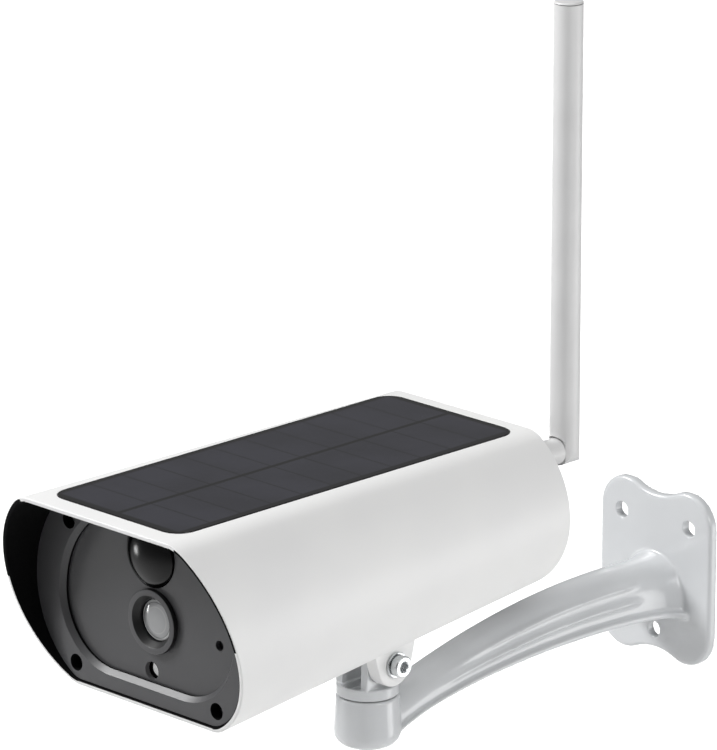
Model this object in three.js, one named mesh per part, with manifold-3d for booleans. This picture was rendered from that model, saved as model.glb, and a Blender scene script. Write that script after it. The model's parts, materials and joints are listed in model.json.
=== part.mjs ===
// Solar security camera on a wall bracket, in millimetres.
// Origin: centre of the wall plate's back face. +Y points into the wall, +Z up, +X is the right-hand
// side as seen from the front, so the lens looks along -Y.
import * as THREE from 'three';
import { mergeVertices } from 'three/addons/utils/BufferGeometryUtils.js';
import Module from 'manifold-3d';

const wasm = await Module();
wasm.setup();

// ---- Driving dimensions -------------------------------------------------------------------------
const GAP = 0.3; // running clearance between neighbouring pieces

// Wall bracket
const PLATE = { thick: 4, lobeX: 16.5, lobeZ: 23, lobeR: 13.5, lobeEnd: 65, edge: 1.2 };
const PLATE_HOLE = { r: 3.25, topX: 18.25, topZ: 22, lowZ: -25 };
const CUP = { y: -169, top: -10.5, bottom: -31, rTop: 12.4, rLow: 13.3, round: 6, bore: 6.2, web: 10.3 };
const ARM = { steps: 14, wide: 11.5, grow: 3, flare: 5, flareRun: 8, wall: 3 };

// Pan swivel and tilt clevis. Heights of the swivel are above the origin.
const RING = { r: 12.25, bottom: -10, top: -5.5, dish: 3, dishR: 10.9 };
const RING_EAR = { inner: 5, outer: 8.6, r: 8.2, base: 9.2 };
const TILT_Z = 5.2;
const FOOT = { inner: 9, outer: 15.3, r: 9, draft: 15.6, slotTop: 9.3, screwY: 8 };
const M5 = { shank: 2.4, hole: 2.8, headR: 4.3, headTall: 3.2, washerR: 5.2, nutFlats: 8, socket: 4 };

// Camera head. Its frame has its origin in the mouth of the tube, where the bezel meets the window.
const HEAD = { y: -115, z: 45.3 };
const BODY = { tip: -27, rear: 168.4, top: 42.8, bottom: -37, wall: 2, visorSlope: 0.306 };
const TAPER = { from: -3, width: 0.000515, depth: 0.00119 }; // shrink per millimetre behind the front
const SIDE = { upper: { x: 12.5, z: 2, r: 50, corner: 14 }, lower: { x: 18.5, z: 2, r: 44, corner: 12 } };
const PANEL = { wide: 70, from: -18, to: 162, corner: 8, pocket: 1.5, glass: 0.8, sheet: 0.5, proud: 0.3 };

// Front
const BEZEL = { front: -2.3, back: 5, lip: -0.3 };
const WINDOW = { face: 0.9, thick: 2, side: 45.6, z: -1, lowR: 25.9, highR: 38.7, bevel: 1.9, ledge: 3 };
const PIR = { z: 23.1, r: 13, rise: 4.2 };
const LENS = { x: 2, z: -2.6, r: 12.6, front: -2.2, mouth: 10.1, throat: 8.3, glassY: 0.6, glassR: 8 };
const LIGHT = { z: -22.8, r: 3.5, depth: 4.2 };
const MIC = { x: 36.8, z: -3.8, r: 2 };
const FRONT_SCREW = { r: 3.3, low: [38.3, -28.3], high: [41.5, 27.5] };
const SENSOR_BOARD = { y: 14, thick: 1.6 };

// Inside
const CHASSIS = { front: 6.6, thick: 2, floor: -14, rear: 155, half: 42 };
const CELL = { r: 9.2, long: 65, y: 20, pitch: 19 };
const MAIN_BOARD = { y: 22, long: 100, wide: 74, z: 12, thick: 1.6 };

// Rear
const COVER = { from: 163.5, to: 167, high: [24, 34], low: [38, -9] };
const ANTENNA = { x: 38.5, y: 180, z: 31.9, stubR: 5.2, offset: 4.3 };
const SLEEVE = { rLow: 5.95, rTop: 5.7, tall: 177, bore: 3.2, screwDeep: 3 };
const BUTTON = { x: 0, z: -4, r: 4 };
const PORT = { x: 20, z: -4, wide: 16, tall: 8 };
const SPEAKER = { x: -18, z: 12, r: 14, hole: 1.1, ring: 5 };

// ---- Materials ----------------------------------------------------------------------------------
const finish = (color, roughness, metalness = 0) =>
  new THREE.MeshStandardMaterial({ color, roughness, metalness });
const white = finish(0xe6e6e6, 0.4);
const painted = finish(0xd4d6d8, 0.3);
const smoked = finish(0x4c4c50, 0.35);
const blackGloss = finish(0x0c0c0e, 0.08);
const steel = finish(0xb8babc, 0.25, 1);
const rubber = finish(0x222224, 0.8);
const board = finish(0x1f5a38, 0.5);
const blackPlastic = finish(0x1c1c1e, 0.5);
const solar = finish(0x2c2c34, 0.15);
const lensGlass = finish(0x8f9294, 0.05);
const cellBlue = finish(0x2f6fa8, 0.4);
const brass = finish(0xc2a052, 0.35, 1);
const lightGuide = finish(0xc8cccc, 0.3);

// ---- Geometry helpers ---------------------------------------------------------------------------
const radians = THREE.MathUtils.degToRad;

function toSolid(geometry) {
  const bare = geometry.clone();
  bare.deleteAttribute('normal');
  bare.deleteAttribute('uv');
  const { attributes, index } = mergeVertices(bare, 1e-4);
  const vertProperties = attributes.position.array;
  return new wasm.Manifold(new wasm.Mesh({ numProp: 3, vertProperties, triVerts: index.array }));
}

function toGeometry(manifold) {
  const mesh = manifold.getMesh();
  const geometry = new THREE.BufferGeometry();
  geometry.setAttribute('position', new THREE.BufferAttribute(mesh.vertProperties, 3));
  geometry.setIndex(new THREE.BufferAttribute(mesh.triVerts, 1));
  geometry.computeVertexNormals();
  return geometry;
}

function join(...geometries) {
  return toGeometry(geometries.map(toSolid).reduce((all, next) => all.add(next)));
}

function cut(geometry, ...tools) {
  return toGeometry(tools.map(toSolid).reduce((rest, tool) => rest.subtract(tool), toSolid(geometry)));
}

function intersect(first, second) {
  return toGeometry(toSolid(first).intersect(toSolid(second)));
}

function arcPoints(x, y, r, from, to, steps) {
  const points = [];
  for (let i = 0; i <= steps; i++) {
    const angle = radians(from + ((to - from) * i) / steps);
    points.push(new THREE.Vector2(x + r * Math.cos(angle), y + r * Math.sin(angle)));
  }
  return points;
}

// The right-hand half of an outline, top to bottom, with its mirror image.
function mirrored(half) {
  const left = half.map((p) => new THREE.Vector2(-p.x, p.y)).reverse();
  const outline = [...half, ...left];
  return new THREE.Shape(outline.filter((p, i) => i === 0 || p.distanceTo(outline[i - 1]) > 1e-6));
}

function roundedRect(halfWide, halfTall, r, steps = 4) {
  return new THREE.Shape([
    ...arcPoints(halfWide - r, halfTall - r, r, 0, 90, steps),
    ...arcPoints(r - halfWide, halfTall - r, r, 90, 180, steps),
    ...arcPoints(r - halfWide, r - halfTall, r, 180, 270, steps),
    ...arcPoints(halfWide - r, r - halfTall, r, 270, 360, steps),
  ]);
}

// A shape drawn in X and Z, between two places along Y.
function alongY(shape, from, to, options = {}) {
  const geometry = new THREE.ExtrudeGeometry(shape, { depth: to - from, bevelEnabled: false, ...options });
  return geometry.rotateX(Math.PI / 2).translate(0, to, 0);
}

// A shape drawn in Y and Z, between two places along X.
function alongX(shape, from, to) {
  const geometry = new THREE.ExtrudeGeometry(shape, { depth: to - from, bevelEnabled: false });
  const turn = new THREE.Matrix4().makeBasis(
    new THREE.Vector3(0, 1, 0),
    new THREE.Vector3(0, 0, 1),
    new THREE.Vector3(1, 0, 0),
  );
  return geometry.applyMatrix4(turn).translate(from, 0, 0);
}

// A shape drawn in X and Y, between two heights.
function alongZ(shape, from, to) {
  return new THREE.ExtrudeGeometry(shape, { depth: to - from, bevelEnabled: false }).translate(0, 0, from);
}

function rodX(r, from, to, y = 0, z = 0, sides = 20) {
  const rod = new THREE.CylinderGeometry(r, r, to - from, sides).rotateZ(Math.PI / 2);
  return rod.translate((from + to) / 2, y, z);
}

function rodY(r, from, to, x = 0, z = 0, sides = 20) {
  return new THREE.CylinderGeometry(r, r, to - from, sides).translate(x, (from + to) / 2, z);
}

function rodZ(r, from, to, x = 0, y = 0, sides = 20) {
  const rod = new THREE.CylinderGeometry(r, r, to - from, sides).rotateX(Math.PI / 2);
  return rod.translate(x, y, (from + to) / 2);
}

function block(x0, x1, y0, y1, z0, z1) {
  const box = new THREE.BoxGeometry(x1 - x0, y1 - y0, z1 - z0);
  return box.translate((x0 + x1) / 2, (y0 + y1) / 2, (z0 + z1) / 2);
}

// A profile of [radius, place] turned about Y, or about Z.
function turnedY(profile, sides = 28) {
  return new THREE.LatheGeometry(profile.map(([r, place]) => new THREE.Vector2(r, place)), sides);
}

function turnedZ(profile, sides = 28) {
  return turnedY(profile, sides).rotateX(Math.PI / 2);
}

function piece(name, geometry, material, parent) {
  const mesh = new THREE.Mesh(geometry, material);
  mesh.name = name;
  parent.add(mesh);
}

// ---- Wall bracket: plate, arched arm and swivel cup, one casting --------------------------------
function plateOutline() {
  const { lobeX, lobeZ, lobeR, lobeEnd } = PLATE;
  const reach = lobeX / Math.cos(radians(lobeEnd));
  const waistR = reach - lobeR;
  const waistZ = lobeZ + reach * Math.sin(radians(lobeEnd));
  const top = [
    ...arcPoints(0, waistZ, waistR, 270, 270 + (90 - lobeEnd), 4),
    ...arcPoints(lobeX, lobeZ, lobeR, 180 - lobeEnd, 0, 9).slice(1),
  ];
  const bottom = top.map((p) => new THREE.Vector2(p.x, -p.y)).reverse();
  return mirrored([...top, ...bottom]);
}

// The arm's section and its hollow, in units of its half width and its height, from the crown down.
const ARM_OUTSIDE = [
  [0, 1],
  [0.3, 0.97],
  [0.55, 0.86],
  [0.72, 0.66],
  [0.78, 0.42],
  [0.82, 0.2],
  [1, 0.16],
  [1, 0],
];
const ARM_INSIDE = [[0, 0.8], [0.4, 0.7], [0.576, 0.3], [0.576, -0.3]];

const armTop = (y) => 7.8 - (y + 38) ** 2 / 686;
const armBottom = (y) => -12.1 - (y + 62) ** 2 / 1040 - 2.6 * Math.exp(-(y + 157) / 14);
const armHalf = (y) =>
  ARM.wide + (ARM.grow * (y - CUP.y)) / -CUP.y + ARM.flare * Math.exp((y + PLATE.thick) / ARM.flareRun);

function sweptArm(half, from, to) {
  const shape = mirrored(half.map(([x, z]) => new THREE.Vector2(x, z)));
  const geometry = alongY(shape, from, to, { steps: ARM.steps });
  const at = geometry.attributes.position;
  for (let i = 0; i < at.count; i++) {
    const y = at.getY(i);
    const low = armBottom(y);
    at.setXYZ(i, at.getX(i) * armHalf(y), y, low + at.getZ(i) * (armTop(y) - low));
  }
  return geometry;
}

function wallBracket() {
  const { thick, edge } = PLATE;
  const rounding = { bevelThickness: edge, bevelSize: edge, bevelOffset: -edge, bevelSegments: 2 };
  const plate = alongY(plateOutline(), edge - thick, thick, { bevelEnabled: true, ...rounding });
  const { top, bottom, rTop, rLow, round, bore, web } = CUP;
  const foot = arcPoints(rLow - round, bottom + round, round, -90, 0, 4).map((p) => [p.x, p.y]);
  const cup = turnedZ([[0, bottom], ...foot, [rTop, top], [0, top]], 36).translate(0, CUP.y, 0);
  const arm = sweptArm(ARM_OUTSIDE, CUP.y + round, 0.5 - thick);
  const hollow = sweptArm(ARM_INSIDE, CUP.y + rLow + ARM.wall, -3 * thick);
  return cut(
    join(plate, cut(arm, hollow), cup),
    block(-50, 50, 0, 10, -50, 50),
    rodZ(bore, bottom - 5, bottom + web, 0, CUP.y),
    rodZ(M5.hole, bottom, 0, 0, CUP.y),
    rodY(PLATE_HOLE.r, -10, 5, PLATE_HOLE.topX, PLATE_HOLE.topZ),
    rodY(PLATE_HOLE.r, -10, 5, -PLATE_HOLE.topX, PLATE_HOLE.topZ),
    rodY(PLATE_HOLE.r, -10, 5, 0, PLATE_HOLE.lowZ),
  );
}

// ---- Swivel: ring with two ears, held by a screw from under the cup ------------------------------
function swivelClevis() {
  const { r, bottom, top, dish, dishR } = RING;
  const ring = turnedZ([[0, bottom], [r - 0.5, bottom], [r, bottom + 0.5], [r, top], [0, top]], 36);
  const { inner, outer, base } = RING_EAR;
  const outline = new THREE.Shape([
    new THREE.Vector2(-base, bottom + 1),
    new THREE.Vector2(base, bottom + 1),
    ...arcPoints(0, TILT_Z, RING_EAR.r, 0, 180, 12),
  ]);
  const limit = rodZ(r - 0.05, bottom - 5, 30, 0, 0, 36);
  const right = intersect(alongX(outline, inner, outer), limit);
  const left = intersect(alongX(outline, -outer, -inner), limit);
  const dishBlock = block(-inner + 0.8, inner - 0.8, -r, r, top - dish, top + 1);
  return cut(
    join(ring, right, left),
    rodX(M5.hole, -20, 20, 0, TILT_Z),
    rodZ(M5.hole, bottom - 5, 5),
    intersect(dishBlock, rodZ(dishR, top - dish, 30, 0, 0, 36)),
  );
}

// ---- Camera head: foot, tube, solar panel -------------------------------------------------------
const widthAt = (y) => 1 - TAPER.width * (y - TAPER.from);
const depthAt = (y) => 1 - TAPER.depth * (y - TAPER.from);
const undersideAt = (y) => BODY.top - (BODY.top - BODY.bottom) * depthAt(y);

function tapered(geometry) {
  const at = geometry.attributes.position;
  for (let i = 0; i < at.count; i++) {
    const y = at.getY(i);
    at.setXYZ(i, at.getX(i) * widthAt(y), y, BODY.top - (BODY.top - at.getZ(i)) * depthAt(y));
  }
  return geometry;
}

// The tube's outline at the front, moved inwards by an inset.
function bodySection(inset = 0) {
  const corner = ({ x, z, r, corner: c }, flat) => {
    const cz = flat > 0 ? flat - c : flat + c;
    const cx = x + Math.sqrt((r - c) ** 2 - (cz - z) ** 2);
    return { cx, cz, angle: THREE.MathUtils.radToDeg(Math.atan2(cz - z, cx - x)) };
  };
  const { upper, lower } = SIDE;
  const high = corner(upper, BODY.top);
  const low = corner(lower, BODY.bottom);
  return mirrored([
    ...arcPoints(high.cx, high.cz, upper.corner - inset, 90, high.angle, 4),
    ...arcPoints(upper.x, upper.z, upper.r - inset, high.angle, 0, 6).slice(1),
    ...arcPoints(lower.x, lower.z, lower.r - inset, 0, low.angle, 6).slice(1),
    ...arcPoints(low.cx, low.cz, lower.corner - inset, low.angle, -90, 4).slice(1),
  ]);
}

function panelShape(grow = 0) {
  const half = (PANEL.to - PANEL.from) / 2;
  return roundedRect(PANEL.wide / 2 + grow, half + grow, PANEL.corner + grow);
}

function panelLayer(shape, from, to) {
  return alongZ(shape, from, to).translate(0, (PANEL.from + PANEL.to) / 2, 0);
}

function visorCutter() {
  const { tip, top, visorSlope } = BODY;
  const edge = (z) => new THREE.Vector2(tip + visorSlope * (top - z), z);
  const ahead = (z) => new THREE.Vector2(tip - 40, z);
  return alongX(new THREE.Shape([edge(60), ahead(60), ahead(-60), edge(-60)]), -90, 90);
}

function housingShell() {
  const { tip, rear, top, wall } = BODY;
  const outer = tapered(alongY(bodySection(), tip - 8, rear));
  const inner = tapered(alongY(bodySection(wall), tip - 20, rear + 10));
  const floorZ = undersideAt(-HEAD.y);
  const footHoles = [-1, 1].map((s) => rodZ(2.3, floorZ - 5, floorZ + 6, 0, -HEAD.y + s * FOOT.screwY, 16));
  return cut(
    cut(outer, inner),
    visorCutter(),
    panelLayer(panelShape(GAP), top - PANEL.pocket, top + 5),
    rodZ(3, top - 6, top + 2, 0, 130, 16),
    ...footHoles,
  );
}

// The foot hangs the head from the tilt bolt. Its frame has the bolt's axis at y = 0 and z = 0.
function mountFoot() {
  const { inner, outer, r, draft, slotTop, screwY } = FOOT;
  const seat = (y) => HEAD.z + undersideAt(y - HEAD.y) - 0.4;
  const reach = (z) => (r + z * Math.sin(radians(draft))) / Math.cos(radians(draft));
  const half = reach(seat(0));
  const outline = new THREE.Shape([
    new THREE.Vector2(half, seat(half)),
    new THREE.Vector2(-half, seat(-half)),
    ...arcPoints(0, 0, r, 180 + draft, 360 - draft, 14),
  ]);
  const seatZ = seat(0);
  return cut(
    alongX(outline, -outer, outer),
    block(-inner, inner, -30, 30, -30, slotTop),
    rodX(M5.hole, -30, 30),
    ...[-1, 1].map((s) => rodZ(2.3, slotTop + 1.4, seatZ + 5, 0, s * screwY, 16)),
  );
}

function capScrew(shank, headR, headTall, long, socket) {
  const head = rodZ(headR, 0, headTall, 0, 0, 20);
  const key = rodZ(socket / Math.sqrt(3), headTall * 0.35, headTall + 1, 0, 0, 6);
  return cut(join(head, rodZ(shank, -long, 0.2, 0, 0, 16)), key);
}

function washer(r, hole, from, to) {
  return turnedZ([[hole, from], [r, from], [r, to], [hole, to], [hole, from]], 18);
}

// ---- Front: bezel, smoked window, lens, sensors -------------------------------------------------
function windowOutline(grow = 0) {
  const { side, z, lowR, highR } = WINDOW;
  return mirrored([
    ...arcPoints(side - highR, z, highR + grow, 90, 0, 9),
    ...arcPoints(side - lowR, z, lowR + grow, 0, -90, 7).slice(1),
  ]);
}

const frontScrewSpots = [FRONT_SCREW.low, FRONT_SCREW.high].flatMap(([x, z]) => [[x, z], [-x, z]]);

function frontBezel() {
  const { front, back, lip } = BEZEL;
  const { bevel, ledge } = WINDOW;
  const flare = { bevelEnabled: true, bevelThickness: lip - front, bevelSize: bevel, bevelSegments: 1 };
  return cut(
    tapered(alongY(bodySection(BODY.wall + GAP), front, back)),
    alongY(windowOutline(), front - 5, front, flare),
    alongY(windowOutline(), front, back + 5),
    alongY(windowOutline(ledge + GAP), WINDOW.face - GAP, back + 5),
    ...frontScrewSpots.map(([x, z]) => rodY(FRONT_SCREW.r, front - 5, 3.2, x, z)),
    ...frontScrewSpots.map(([x, z]) => rodY(1.8, 0, back + 5, x, z, 12)),
  );
}

function frontWindow() {
  return cut(
    alongY(windowOutline(WINDOW.ledge), WINDOW.face, WINDOW.face + WINDOW.thick),
    rodY(PIR.r, -5, 5, 0, PIR.z, 36),
    rodY(9.5, -5, 5, LENS.x, LENS.z, 28),
    rodY(LIGHT.r, -5, 5, 0, LIGHT.z),
    rodY(MIC.r, -5, 5, MIC.x, MIC.z, 16),
  );
}

function domeLens() {
  const { r, rise } = PIR;
  const rim = r - 0.4;
  const outside = arcPoints(0, 0, 1, 90, 0, 5).map((p) => [rim * p.x, 0.5 - (rise + 0.5) * p.y]);
  const inside = arcPoints(0, 0, 1, 0, 90, 4).map((p) => [(rim - 1) * p.x, 0.5 - (rise - 0.5) * p.y]);
  const flange = [[rim, 2.3], [rim + 2, 2.3], [rim + 2, 3.3], [rim - 1, 3.3]];
  return turnedY([...outside, ...flange, ...inside], 26).translate(0, WINDOW.face, PIR.z);
}

function lensRing() {
  const { r, front, mouth, throat, glassY } = LENS;
  const profile = [
    [mouth, front],
    [r - 0.5, front],
    [r, front + 0.5],
    [r, -GAP],
    [9.2, -GAP],
    [9.2, 4],
    [throat, 4],
    [throat, glassY - GAP],
    [mouth, front],
  ];
  return turnedY(profile, 36).translate(LENS.x, WINDOW.face, LENS.z);
}

function lensWindow() {
  const { glassR, glassY } = LENS;
  const dome = arcPoints(0, 0, 1, 90, 0, 5).map((p) => [glassR * p.x, glassY + 0.9 - 0.9 * p.y]);
  const profile = [...dome, [glassR, glassY + 2], [0, glassY + 2]];
  return turnedY(profile, 28).translate(LENS.x, WINDOW.face, LENS.z);
}

// ---- Inside: chassis, boards, cells -------------------------------------------------------------
function innerChassis() {
  const { front, thick, floor, rear, half } = CHASSIS;
  const flange = cut(
    tapered(alongY(bodySection(BODY.wall + 0.6), front, front + thick)),
    alongY(roundedRect(36, 28, 8), front - 5, front + thick + 5).translate(0, 0, 1.5),
    ...frontScrewSpots.map(([x, z]) => rodY(1.8, 0, 20, x, z, 12)),
  );
  const tray = block(-half, half, front + 0.5, rear + thick, floor, floor + thick);
  const backFrame = cut(
    block(-half, half, rear, rear + thick, floor, 37.5),
    block(-34, 34, rear - 5, rear + 9, floor + thick + 3, 29),
    ...rearScrewSpots.map(([x, z]) => rodY(1.8, rear - 5, rear + 9, x, z, 12)),
  );
  const spots = [-34, 34].flatMap((x) => [88.5, 118].map((y) => [x, y]));
  const posts = spots.map(([x, y]) => rodZ(2.2, floor + 1, MAIN_BOARD.z - GAP, x, y, 12));
  return join(flange, tray, backFrame, ...posts);
}

const rearScrewSpots = [COVER.high, COVER.low].flatMap(([x, z]) => [[x, z], [-x, z]]);

function panScrewY(long) {
  // Head towards -Y, shank towards +Y, cross recess in the head.
  const head = turnedY([[0, -2], [1.8, -2], [2.6, -1.3], [2.7, 0], [1.45, 0], [1.45, long], [0, long]], 14);
  const slot = [block(-1.5, 1.5, -3, -1.1, -0.35, 0.35), block(-0.35, 0.35, -3, -1.1, -1.5, 1.5)];
  return cut(head, ...slot);
}

// ---- Rear cover, antenna ------------------------------------------------------------------------
function rearCover() {
  const { from, to } = COVER;
  const grille = arcPoints(SPEAKER.x, SPEAKER.z, SPEAKER.ring, 0, 300, 5);
  const port = roundedRect(PORT.wide / 2, PORT.tall / 2, 3);
  return cut(
    tapered(alongY(bodySection(BODY.wall + 0.4), from, to)),
    rodY(SPEAKER.hole, from - 5, to + 5, SPEAKER.x, SPEAKER.z, 10),
    ...grille.map((p) => rodY(SPEAKER.hole, from - 5, to + 5, p.x, p.y, 10)),
    alongY(port, from - 5, to + 5).translate(PORT.x, 0, PORT.z),
    rodY(BUTTON.r + GAP, from - 5, to + 5, BUTTON.x, BUTTON.z),
    rodY(3.4, from - 5, to + 5, ANTENNA.x, ANTENNA.z, 16),
    ...rearScrewSpots.map(([x, z]) => rodY(1.8, from - 5, to + 5, x, z, 12)),
    ...rearScrewSpots.map(([x, z]) => rodY(3.1, to - 1.2, to + 5, x, z, 14)),
  );
}

function antennaStub() {
  const { y, stubR } = ANTENNA;
  const start = COVER.to + GAP;
  const body = [
    [0, COVER.from - 5],
    [3, COVER.from - 5],
    [3, start],
    [stubR + 1, start],
    [stubR + 1, start + 3],
    [stubR, start + 4],
    [stubR, y],
    [0, y],
  ];
  return cut(turnedY(body, 24), rodY(1.8, y - 8, y + 5, 0, 0, 14));
}

// The antenna turns about the stub. Its frame has the stub's end face at y = 0 and its axis at x = z = 0.
function antennaSleeve() {
  const { offset, stubR } = ANTENNA;
  const { rLow, rTop, tall, bore, screwDeep } = SLEEVE;
  const back = offset + rLow;
  const tube = turnedZ([[0, 0], [rLow, 0], [rTop, tall], [0, tall]], 24).translate(0, offset, 0);
  const ear = intersect(rodY(rLow, GAP, back, 0, 0, 28), rodZ(rLow, -rLow - 1, rLow, 0, offset, 24));
  return cut(
    join(tube, ear),
    rodY(stubR + 0.9, -10, GAP, 0, 0, 28),
    block(-10, 10, -10, GAP, -10, 0),
    rodY(1.8, -5, 20, 0, 0, 14),
    rodY(3.1, back - screwDeep, 20, 0, 0, 18),
    rodZ(bore, 14, tall + 5, 0, offset, 16),
  );
}

// ---- Assembly -----------------------------------------------------------------------------------
const camera = new THREE.Group();
piece('wall_bracket', wallBracket(), painted, camera);

const swivel = new THREE.Group();
swivel.position.set(0, CUP.y, 0);
camera.add(swivel);
piece('swivel_clevis', swivelClevis(), painted, swivel);
const webTop = CUP.bottom + CUP.web;
piece('swivel_washer', washer(M5.washerR, M5.hole, webTop - 1 - GAP, webTop - GAP), steel, swivel);
const screwSeat = webTop - 1 - 2 * GAP;
const swivelScrew = capScrew(M5.shank, M5.headR, 4.5, RING.top - 1.8 - screwSeat, M5.socket);
piece('swivel_screw', swivelScrew.rotateX(Math.PI).translate(0, 0, screwSeat), steel, swivel);

const tilt = new THREE.Group();
tilt.position.set(0, 0, TILT_Z);
swivel.add(tilt);
piece('mount_foot', mountFoot(), white, tilt);
const seatX = FOOT.outer + GAP;
const onX = (geometry) => geometry.rotateY(Math.PI / 2);
piece('tilt_washer_right', onX(washer(M5.washerR, M5.hole, seatX, seatX + 1)), steel, tilt);
piece('tilt_washer_left', onX(washer(M5.washerR, M5.hole, -seatX - 1, -seatX)), steel, tilt);
const boltSeat = seatX + 1 + GAP;
const boltLong = 2 * boltSeat + 4.4;
const tiltBolt = capScrew(M5.shank, M5.headR, M5.headTall, boltLong, M5.socket);
piece('tilt_bolt', onX(tiltBolt).translate(boltSeat, 0, 0), steel, tilt);
const nut = cut(rodX(M5.nutFlats / Math.sqrt(3), -boltSeat - 4, -boltSeat, 0, 0, 6), rodX(M5.hole, -40, 0));
piece('tilt_nut', nut, steel, tilt);

const head = new THREE.Group();
head.position.set(0, HEAD.y, HEAD.z);
tilt.add(head);
piece('housing_shell', housingShell(), white, head);
const glassTop = BODY.top + PANEL.proud;
piece('solar_glass', panelLayer(panelShape(), glassTop - PANEL.glass, glassTop), solar, head);
const sheetTop = glassTop - PANEL.glass - GAP;
piece('solar_backsheet', panelLayer(panelShape(), sheetTop - PANEL.sheet, sheetTop), blackPlastic, head);
for (const side of [-1, 1]) {
  const y = -HEAD.y + side * FOOT.screwY;
  const z = undersideAt(y) + BODY.wall + 0.8;
  const screw = turnedZ([[0, -10], [1.9, -10], [1.9, 0], [3.6, 0], [3.4, 2], [0, 2]], 16).translate(0, y, z);
  piece(side < 0 ? 'foot_screw_front' : 'foot_screw_rear', screw, steel, head);
}

piece('front_bezel', frontBezel(), smoked, head);
piece('front_window', frontWindow(), smoked, head);
const sealFrom = BEZEL.back + GAP;
const gasket = cut(
  tapered(alongY(bodySection(BODY.wall + 0.6), sealFrom, sealFrom + 1)),
  alongY(roundedRect(42, 27, 14), sealFrom - 5, sealFrom + 6),
  ...frontScrewSpots.map(([x, z]) => rodY(2, 0, 20, x, z, 12)),
);
piece('front_gasket', gasket, rubber, head);
frontScrewSpots.forEach(([x, z], i) => {
  piece(`front_screw_${i + 1}`, panScrewY(9).translate(x, 2.9, z), steel, head);
});
piece('pir_lens', domeLens(), blackGloss, head);
const boardFace = SENSOR_BOARD.y - GAP;
const pirCan = turnedY([[0, 8], [4.2, 8], [4.2, 13], [4.9, 13], [4.9, boardFace], [0, boardFace]], 20);
piece('pir_sensor', pirCan.translate(0, 0, PIR.z - 4), steel, head);
piece('lens_ring', lensRing(), smoked, head);
piece('lens_glass', lensWindow(), lensGlass, head);
const barrel = turnedY([[3, 5.3], [7.4, 5.3], [7.4, 6.1], [6, 6.2], [6, 11.5], [3, 11.5], [3, 5.3]], 24);
piece('lens_barrel', barrel.translate(LENS.x, 0, LENS.z), blackPlastic, head);
const mount = cut(alongY(roundedRect(9, 9, 2), 6.4, boardFace), rodY(6.3, 0, 20, 0, 0, 24));
piece('lens_mount', mount.translate(LENS.x, 0, LENS.z), blackPlastic, head);
const imageSensor = block(-3.6, 3.6, 12.4, boardFace, -2.8, 2.8);
piece('image_sensor', imageSensor.translate(LENS.x, 0, LENS.z), blackPlastic, head);
const guideR = LIGHT.r - 0.4;
const guide = [[0, LIGHT.depth], [guideR, LIGHT.depth], [guideR, 6], [2, 7], [2, boardFace], [0, boardFace]];
piece('status_light_guide', turnedY(guide, 20).translate(0, 0, LIGHT.z), lightGuide, head);
piece('microphone', rodY(3, 3.2, 6, MIC.x, MIC.z), rubber, head);
const sensorBoard = cut(
  alongY(roundedRect(27, 26, 3), SENSOR_BOARD.y, SENSOR_BOARD.y + SENSOR_BOARD.thick).translate(0, 0, 2),
  block(-40, 40, 0, 40, -60, CHASSIS.floor + CHASSIS.thick + GAP),
);
piece('sensor_board', sensorBoard, board, head);

piece('inner_chassis', innerChassis(), blackPlastic, head);
const cellZ = CHASSIS.floor + CHASSIS.thick + GAP + CELL.r;
[-1.5, -0.5, 0.5, 1.5].forEach((place, i) => {
  const cell = rodY(CELL.r, CELL.y, CELL.y + CELL.long, place * CELL.pitch, cellZ, 18);
  piece(`battery_cell_${i + 1}`, cell, cellBlue, head);
});
const { y: boardY, long, wide, z: boardZ, thick } = MAIN_BOARD;
const mainBoard = block(-wide / 2, wide / 2, boardY, boardY + long, boardZ, boardZ + thick);
piece('main_board', mainBoard, board, head);
const onBoard = boardZ + thick + GAP;
piece('wifi_module', block(18, 34, 96, 120, onBoard, onBoard + 3), steel, head);
piece('memory_card_slot', block(-20, -5, 100, 116, onBoard, onBoard + 2), steel, head);
const socket = block(PORT.x - 4.5, PORT.x + 4.5, 157.6, 163, PORT.z - 1.7, PORT.z + 1.7);
piece('charging_port', socket, steel, head);
const cone = [[0, 158], [8, 158], [8, 160], [SPEAKER.r, 160], [SPEAKER.r, 163], [0, 163]];
piece('speaker', turnedY(cone, 24).translate(SPEAKER.x, 0, SPEAKER.z), blackPlastic, head);

piece('rear_cover', rearCover(), smoked, head);
rearScrewSpots.forEach(([x, z], i) => {
  const screw = panScrewY(9).rotateX(Math.PI).translate(x, COVER.to - 0.9, z);
  piece(`rear_screw_${i + 1}`, screw, steel, head);
});
const cap = [
  [0, 163],
  [5.4, 163],
  [5.4, 163.2],
  [BUTTON.r, 163.2],
  [BUTTON.r, 167.6],
  [BUTTON.r - 0.5, 168.2],
  [0, 168.2],
];
piece('power_button', turnedY(cap, 20).translate(BUTTON.x, 0, BUTTON.z), rubber, head);
const plug = alongY(roundedRect(PORT.wide / 2 - GAP, PORT.tall / 2 - GAP, 2.7), COVER.from, 168);
piece('port_plug', plug.translate(PORT.x, 0, PORT.z), rubber, head);
piece('antenna_stub', antennaStub().translate(ANTENNA.x, 0, ANTENNA.z), white, head);

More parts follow.
